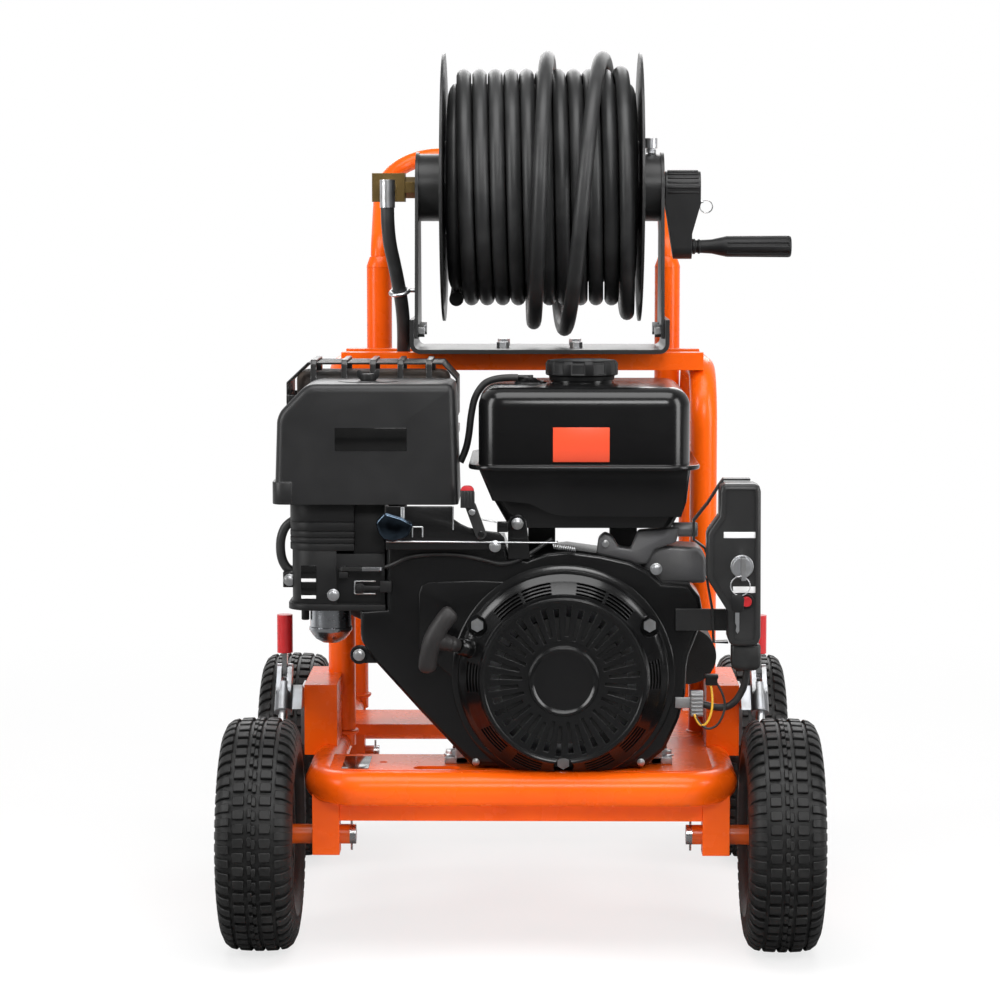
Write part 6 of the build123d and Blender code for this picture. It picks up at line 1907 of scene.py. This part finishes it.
@dataclass
class CarburettorHousing:
    """The housing of the carburettor: a banded column, a bolted lower box and its flange."""

    rear: float = -0.18
    bands: Flats = (
        (0.448, 0.4557), (0.4569, 0.462), (0.4632, 0.4691), (0.4703, 0.4793), (0.4805, 0.5015),
    )
    blocks: tuple[tuple[Flat, Flat, float, float], ...] = (
        ((-0.2566, 0.448), (-0.1856, 0.501), -0.2708, 0.029),
        ((-0.2552, 0.388), (-0.2042, 0.4485), -0.2715, 0.026),
        ((-0.214, 0.388), (-0.151, 0.4445), -0.2672, 0.002),
        ((-0.186, 0.443), (-0.151, 0.501), -0.264, 0.002),
        ((-0.2596, 0.3815), (-0.1505, 0.3884), -0.2735, 0.028),
        ((-0.266, 0.4045), (-0.248, 0.4215), -0.248, 0.002),
    )
    pins: tuple[Box, ...] = (
        ((-0.196, -0.278, 0.4262), (-0.196, -0.278, 0.4325)),
        ((-0.178, -0.262, 0.408), (-0.178, -0.2836, 0.408)),
    )
    ledge: tuple[Flat, Flat, float, float] = ((-0.201, 0.419), (-0.191, 0.426), -0.282, 0.002)
    bolts: tuple[Point, ...] = ((-0.2081, -0.2718, 0.3991), (-0.2585, -0.248, 0.413))
    frame_y: float = -0.2755
    frame_corners: Flats = ((-0.161, 0.415), (-0.184, 0.415), (-0.184, 0.401), (-0.161, 0.401))
    drain: Box = ((-0.2425, -0.228, 0.383), (-0.2425, -0.228, 0.3655))
    bowl_axis: Flat = (-0.214, -0.228)
    bowl: Flats = (
        (0.0228, 0.359), (0.024, 0.3582), (0.0242, 0.3548), (0.023, 0.353), (0.0205, 0.349),
        (0.0165, 0.3445), (0.0118, 0.342), (0.0095, 0.3405), (0.0, 0.3405),
    )

    def rounded(self, low: Flat, high: Flat, front: float, radius: float) -> Piece:
        """A block whose upright edges at the left are rounded.

        Args:
            low: X and Z of the lower left corner.
            high: X and Z of the upper right corner.
            front: The Y of its face.
            radius: The radius of the upright edges.

        Returns:
            The block.
        """
        piece = Bench.block("part", (low[0], front, low[1]), (high[0], self.rear, high[1]))
        edge = low[0] + 0.001
        Bench.round_edges(piece, lambda a, b: max(a.x, b.x) < edge and abs(a.z - b.z) > 0.001, radius, 8)
        return Bench.soften(piece, 0.0006)

    def shell(self) -> None:
        """The moulding itself with the pins and the ledge of its levers."""
        parts = [self.rounded((-0.2578, low), (-0.1846, high), -0.272, 0.03) for low, high in self.bands]
        parts += [self.rounded(*block) for block in self.blocks]
        parts += [Bench.soften(Bench.rod("pin", *ends, 0.0029, 20), 0.0004) for ends in self.pins]
        parts.append(self.rounded(*self.ledge))
        place(Bench.join("moulded_carburettor_housing", parts), DULL_BLACK, nodes=("carburettor_housing",))

    def trim(self) -> None:
        """Bolts, the tap's wire frame, bare plates with their strips, and the drain screw."""
        bolts = [Bench.bolt(spot, 0.0068) for spot in self.bolts]
        corners = [(x, self.frame_y, z) for x, z in self.frame_corners]
        wires = [Bench.rod("wire", here, there, 0.0009, 12) for here, there in zip(corners, corners[1:])]
        place(Bench.join("housing_bolts_and_frame", [*bolts, *wires]), ZINC)
        plates = [
            Bench.block("plate", (-0.2439, -0.2722, z), (-0.227, -0.27, z + 0.0182))
            for z in (0.3948, 0.4135)
        ]
        place(Bench.soften(Bench.join("housing_bare_plates", plates), 0.0002), BARE_LABEL)
        strips = [
            Bench.block("strip", (-0.2436, -0.2725, z), (-0.2273, -0.2715, z + 0.0036))
            for z in (0.395, 0.4137)
        ]
        place(Bench.soften(Bench.join("housing_bare_strips", strips), 0.0002), BARE_STRIP)
        screw = Bench.rod("bowl_drain_screw", *self.drain, 0.0045, 20)
        place(Bench.soften(screw, 0.001), DULL_BLACK)

    def bowl_cup(self) -> None:
        """The rim and the tapered bottom of the float bowl."""
        x, y = self.bowl_axis
        section = [(x + r, y, z) for r, z in self.bowl]
        cup = Bench.turned("float_bowl_cup", section, (x, y, 0), (0, 0, 1), 48)
        place(Bench.soften(cup, 0, angle=40), BOWL_STEEL)

    def tap(self) -> None:
        """The fuel tap's lever with its square end."""
        boss = Bench.rod("boss", (-0.178, -0.2772, 0.408), (-0.178, -0.2825, 0.408), 0.0055, 28)
        arm = Bench.block("arm", (-0.178, -0.282, 0.4055), (-0.15, -0.2785, 0.4105))
        end = Bench.block("end", (-0.1557, -0.2835, 0.4032), (-0.143, -0.2772, 0.416))
        lever = Bench.soft_join("fuel_tap_lever", (boss, arm, end), 0.0012)
        place(lever, DULL_BLACK, "fuel_tap", ("fuel_lever",))

    def build(self) -> None:
        """Makes housing, trim, bowl and tap."""
        self.shell()
        self.trim()
        self.bowl_cup()
        self.tap()


@dataclass
class EngineCovers:
    """Trim on the shroud and the air cleaner, and the bare plates on tank and deck."""

    shroud_face: float = -0.275
    cleaner_face: float = -0.29
    tank_face: float = -0.295
    panel: Flats = (
        (-0.113, 0.338), (-0.113, 0.402), (-0.11, 0.41), (-0.102, 0.414), (-0.05, 0.416), (0.0, 0.414),
        (-0.05, 0.36), (-0.066, 0.3),
    )
    nut_foot: Point = (-0.1705, -0.235, 0.634)
    wing: Flats = (
        (0.003, 0.0005), (0.0085, 0.001), (0.0125, 0.006), (0.013, 0.0115), (0.0105, 0.0135),
        (0.0075, 0.0115), (0.005, 0.007), (0.003, 0.0065),
    )
    wing_half: float = 0.0024

    def shroud_panel(self) -> None:
        """The raised panel beside the starter grip."""
        panel = Bench.sheet("shroud_raised_panel", self.panel, self.shroud_face + 0.0005, -0.0022)
        place(Bench.soften(panel, 0.0018, 3), GLOSS_BLACK)

    def bare_plates(self) -> None:
        """Bare plates where the machine carries printed ones."""
        cleaner = Bench.block("cleaner_bare_plate", (-0.2045, self.cleaner_face - 0.0005, 0.5605),
                              (-0.1255, self.cleaner_face + 0.001, 0.586))
        place(Bench.soften(cleaner, 0.0003), BARE_LABEL)
        tank = Bench.block("tank_bare_plate", (0.035, self.tank_face - 0.0005, 0.549),
                           (0.097, self.tank_face + 0.001, 0.587))
        place(Bench.soften(tank, 0.0003), BARE_ORANGE_LABEL)
        deck = Bench.block("deck_bare_plate", (-0.2, -0.272, 0.2038), (-0.17, -0.196, 0.2045))
        place(Bench.soften(deck, 0.0002), BARE_LABEL)

    def wing_nut(self) -> None:
        """The moulded wing nut on top of the air cleaner."""
        x, y, z = self.nut_foot
        boss = Bench.rod("boss", (x, y, z), (x, y, z + 0.0085), 0.0078, 32)
        wings = []
        for side in Side:
            outline = [(x + side.value * out, z + up) for out, up in self.wing]
            wings.append(Bench.sheet("wing", outline, y - self.wing_half, 2 * self.wing_half))
        nut = Bench.join("air_cleaner_wing_nut", [boss, *wings])
        place(Bench.soften(nut, 0.0014, 3), DULL_BLACK)

    def build(self) -> None:
        """Makes every piece of trim."""
        self.shroud_panel()
        self.bare_plates()
        self.wing_nut()


@dataclass
class AirCleaner:
    """The moulded air cleaner cover: drafted sides, one sloping shoulder and soft edges."""

    front: float = -0.29
    rear: float = -0.154
    outline: Flats = (
        (-0.2716, 0.5012), (-0.2682, 0.6), (-0.2352, 0.634), (-0.0735, 0.634), (-0.0692, 0.5012),
    )

    def build(self) -> None:
        """Moulds the cover, the lip round its lower left corner and the pad under the wing nut."""
        cover = Bench.sheet("cover", self.outline, self.front, self.rear - self.front)
        Bench.round_edges(cover, lambda a, b: min(a.z, b.z) > 0.55 and abs(a.y - b.y) > 0.1, 0.009, 5)
        Bench.round_edges(cover, lambda a, b: abs(a.y - b.y) < 0.001 and max(a.z, b.z) > 0.502, 0.0125, 6)
        pad = Bench.rod("pad", (-0.1705, -0.232, 0.633), (-0.1705, -0.232, 0.6348), 0.034, 64)
        lip = Bench.block("lip", (-0.2742, -0.2912, 0.5012), (-0.252, -0.164, 0.5262))
        Bench.round_edges(lip, lambda a, b: max(a.x, b.x) < -0.27 and abs(a.z - b.z) > 0.01, 0.0135, 6)
        Bench.soften(pad, 0.0012, 3)
        Bench.soften(lip, 0.001)
        shell = Bench.join("air_cleaner_shell", (cover, pad, lip))
        place(Bench.soften(shell, 0, angle=30), SATIN_BLACK, nodes=("air_cleaner_cover",))


@dataclass
class ControlBox:
    """The key control box: stepped outline, mounting strips, blank plates, bezels and the spare key."""

    front: float = -0.32
    rear: float = -0.282
    outline: Flats = (
        (0.222, 0.5272), (0.2545, 0.5272), (0.2595, 0.5248), (0.2612, 0.519), (0.2622, 0.359),
        (0.26, 0.353), (0.255, 0.3496), (0.2328, 0.3496), (0.2284, 0.3522), (0.2263, 0.358),
        (0.2261, 0.387), (0.2052, 0.42), (0.2033, 0.425), (0.2033, 0.4715), (0.205, 0.476),
        (0.2163, 0.4922), (0.2166, 0.5178), (0.218, 0.524),
    )
    upper_strip: Flats = (
        (0.2519, 0.529), (0.2223, 0.529), (0.2156, 0.519), (0.2054, 0.5027), (0.1903, 0.4838),
        (0.1904, 0.4621), (0.2021, 0.4535), (0.2049, 0.4463),
    )
    lower_strip: Flats = ((0.2051, 0.4195), (0.2114, 0.3844), (0.213, 0.3485), (0.229, 0.3485))
    strip_half: float = 0.0012
    blanks: tuple[tuple[Flat, Flat], ...] = (
        ((0.221, 0.4682), (0.256, 0.4748)), ((0.2315, 0.408), (0.256, 0.415)),
    )
    boot: Box = ((0.231, -0.312, 0.32), (0.263, -0.288, 0.35))
    key_head: Flats = (
        (-0.006, 0.4095), (0.006, 0.4095), (0.0075, 0.404), (0.0065, 0.393), (0.003, 0.39), (-0.003, 0.39),
        (-0.0065, 0.393), (-0.0075, 0.404),
    )
    key_blade: Flats = (
        (-0.0022, 0.391), (0.0022, 0.391), (0.0022, 0.37), (0.0004, 0.367), (-0.0016, 0.37),
        (-0.0008, 0.375), (-0.0022, 0.379),
    )
    key: Flat = (0.241, 0.437)
    breaker: Flat = (0.246, 0.399)

    def shell(self) -> None:
        """The box, with a shallow sunk face inside its rim."""
        box = Bench.sheet("control_box_shell", self.outline, self.front, self.rear - self.front)
        Bench.soften(box, 0.0035, 3, 60)
        Bench.sink(box, lambda centre, normal: normal.y < -0.95, 0.0045, (0, 0.0008, 0))
        place(Bench.soften(box, 0.0003), CONTROL_BLACK, nodes=("control_box",))

    def bezel(self, name: str, spot: Flat, radius: float, finish: Finish) -> None:
        """Turns a ring round a switch.

        Args:
            name: The ring's name.
            spot: X and Z of the switch.
            radius: The ring's outer radius.
            finish: Its finish.
        """
        x, z = spot
        section = [(x + r, self.front + y, z) for r, y in (
            (radius - 0.0032, 0.0006), (radius - 0.003, -0.002), (radius - 0.0008, -0.0024),
            (radius, -0.0012), (radius, 0.001), (radius - 0.0032, 0.001),
        )]
        ring = Bench.turned(name, section, (x, 0, z), (0, 1, 0), 48, closed=True)
        place(Bench.soften(ring, 0.0002), finish)

    def spare_key(self) -> None:
        """The split ring through the key's bow, with the spare key on it."""
        x, y = self.key[0] - 0.0065, -0.347
        ring = Bench.ring("ring", (x + 0.003, y, 0.419), (0.08, 1, 0), 0.0105, 0.0006)
        blade = Bench.sheet("blade", [(x + out, z) for out, z in self.key_blade], y - 0.0002, 0.0014)
        steel = Bench.join("spare_key_blade_and_ring", (Bench.soften(ring, 0, angle=70), blade))
        place(Bench.soften(steel, 0), ZINC, "key")
        head = Bench.sheet("spare_key_head", [(x + out, z) for out, z in self.key_head], y - 0.001, 0.003)
        place(Bench.soften(head, 0.0008), DULL_BLACK, "key")

    def strip(self, name: str, line: Sequence[Flat]) -> Piece:
        """Bends a strip that stands on edge along a line.

        Args:
            name: The strip's name.
            line: X and Z of its bends.

        Returns:
            The strip.
        """
        sides: tuple[list[Flat], list[Flat]] = ([], [])
        for n, (x, z) in enumerate(line):
            run = Vector(line[min(n + 1, len(line) - 1)]) - Vector(line[max(n - 1, 0)])
            along = run.normalized() * self.strip_half
            sides[0].append((x - along.y, z + along.x))
            sides[1].append((x + along.y, z - along.x))
        return Bench.sheet(name, [*sides[0], *reversed(sides[1])], self.rear - 0.004, 0.016)

    def bracket(self) -> None:
        """The bent strips that hold the box, its two blank label plates and the rubber boot of the cable."""
        pair = (self.strip("upper", self.upper_strip), self.strip("lower", self.lower_strip))
        place(Bench.soften(Bench.join("control_box_bracket", pair), 0.0004), CONTROL_BLACK)
        blanks = [
            Bench.block("blank", (left, self.front + 0.0003, low), (right, self.front + 0.0012, high))
            for (left, low), (right, high) in self.blanks
        ]
        place(Bench.soften(Bench.join("control_box_blank_labels", blanks), 0.0002), BARE_STRIP)
        boot = Bench.block("cable_boot", *self.boot)
        Bench.round_edges(boot, lambda a, b: max(a.z, b.z) < 0.325, 0.0085, 5)
        place(Bench.soften(boot, 0.003, 3), WIRE_SLEEVE)

    def build(self) -> None:
        """Makes the box and what hangs on it."""
        self.shell()
        self.bracket()
        self.bezel("key_switch_bezel", self.key, 0.0128, ZINC)
        self.bezel("breaker_bezel", self.breaker, 0.0085, DULL_BLACK)
        self.spare_key()


@dataclass
class Linkage:
    """Governor rod and spring with their post, cast arm and cover under the tank, and the engine's feet."""

    front: float = -0.2948
    rod_ends: tuple[Flat, Flat] = ((-0.1472, 0.4612), (0.04, 0.46))
    wire: float = 0.001
    coil_count: int = 12
    coil_pitch: float = 0.0021
    arm_outline: Flats = (
        (0.084, 0.446), (0.086, 0.462), (0.093, 0.468), (0.101, 0.464), (0.108, 0.452), (0.122, 0.45),
        (0.13, 0.47), (0.176, 0.474), (0.172, 0.457), (0.148, 0.449), (0.14, 0.432), (0.096, 0.432),
    )
    cover_outline: Flats = (
        (0.13, 0.41), (0.13, 0.452), (0.164, 0.452), (0.198, 0.45), (0.206, 0.44), (0.2065, 0.41),
    )
    arm_pivot: Flat = (0.0935, 0.456)
    cover_boss: Box = ((0.168, -0.252, 0.4705), (0.196, -0.252, 0.4705))
    foot_places: tuple[tuple[float, float, float], ...] = ((-0.086, -0.059, -0.079), (0.145, 0.17, 0.164))

    def rod_and_spring(self) -> None:
        """The long governor rod with its hooked ends, and the pull spring beside it."""
        y = self.front
        ends = [(x, y, z) for x, z in self.rod_ends]
        rod = Bench.rod("rod", *ends, self.wire, 12)
        hooks = [Bench.rod("hook", (x, y, z), (x, y + 0.012, z), self.wire, 12) for x, y, z in ends]
        coils = []
        for n in range(self.coil_count):
            spot = (0.036 + self.coil_pitch * n, y + 0.008, 0.4555 - 0.0003 * n)
            coils.append(Bench.ring("coil", spot, (1, 0, 0.25), 0.0028, 0.0006, 20))
        whole = Bench.join("governor_rod_and_spring", [rod, *hooks, *coils])
        place(Bench.soften(whole, 0, angle=70), ZINC)

    def post(self) -> None:
        """The black round-topped post that carries the linkage, with its bolt."""
        x, z, y = -0.004, 0.48, -0.283
        turns = [math.pi * n / 10 for n in range(11)]
        arc = [(x + 0.0105 * math.cos(t), z + 0.0105 * math.sin(t)) for t in turns]
        plate = Bench.sheet("linkage_post", [*arc, (-0.0145, 0.44), (0.01, 0.44)], y, 0.006)
        place(Bench.soften(plate, 0.0016, 3), GLOSS_BLACK)
        head = Bench.bolt((x, y, z), 0.0066)
        head.name = head.data.name = "linkage_post_bolt"
        place(head, ZINC)

    def arm(self) -> None:
        """The grey cast arm right of the shroud, with its round boss."""
        y = -0.262
        arm = Bench.sheet("grey_tank_arm", self.arm_outline, y, 0.02)
        place(Bench.soften(arm, 0.003, 3), GREY_CASTING)
        x, z = self.arm_pivot
        boss = Bench.rod("arm_pivot_bolt", (x, y + 0.002, z), (x, y - 0.005, z), 0.0042, 20)
        place(Bench.soften(boss, 0.0008), ZINC)

    def cover(self) -> None:
        """The cast cover behind the arm, with the boss that reaches to the control box."""
        cover = Bench.sheet("grey_side_cover", self.cover_outline, -0.25, 0.06)
        boss = Bench.rod("boss", *self.cover_boss, 0.008, 32)
        both = Bench.join("grey_side_cover", (Bench.soften(cover, 0.005, 4), Bench.soften(boss, 0.0016, 3)))
        place(both, GREY_CASTING)

    def feet(self) -> None:
        """The engine's cast feet on the deck, each with its bolt."""
        feet = []
        bolts = []
        for left, right, bolt_x in self.foot_places:
            feet.append(Bench.block("foot", (left, -0.242, 0.204), (right, -0.19, 0.2125)))
            rib_x = left + right - bolt_x
            low = (rib_x - 0.008, -0.242, 0.204)
            feet.append(Bench.block("rib", low, (rib_x + 0.008, -0.19, 0.224)))
            for name, start, end, radius, sides in (("shank", 0.211, 0.219, 0.0062, 6),
                                                    ("washer", 0.212, 0.214, 0.008, 28)):
                bolts.append(Bench.rod(name, (bolt_x, -0.23, start), (bolt_x, -0.23, end), radius, sides))
        place(Bench.soften(Bench.join("engine_feet", feet), 0.0015, 3), CAST_ALLOY)
        place(Bench.soften(Bench.join("engine_foot_bolts", bolts), 0.0006), ZINC)

    def build(self) -> None:
        """Makes the linkage."""
        self.rod_and_spring()
        self.post()
        self.arm()
        self.cover()
        self.feet()


def dress_nodes() -> None:
    """Gives every CAD node its finish."""
    for finish, names in NODE_FINISHES.items():
        for name in names:
            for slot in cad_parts[name].material_slots:
                slot.material = finish.material()


def main() -> None:
    """Builds and dresses everything in order."""
    logging.basicConfig(level=logging.INFO, format="%(name)s: %(message)s")
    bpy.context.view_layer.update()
    bpy.context.scene.view_settings.view_transform = "Standard"
    Studio().build()
    dress_nodes()
    for assembly in (WoundHose(), EngineLines(), Wheel(), Welds(), ReelFittings(), MufflerGuard(), FuelTank(),
                     FuelCap(), RecoilCover(), StarterGrip(), FanShroud(), Throttle(), CarburettorHousing(),
                     EngineCovers(), AirCleaner(), ControlBox(), Linkage()):
        log.info("building %s", type(assembly).__name__)
        assembly.build()


if __name__ == "__main__":
    main()
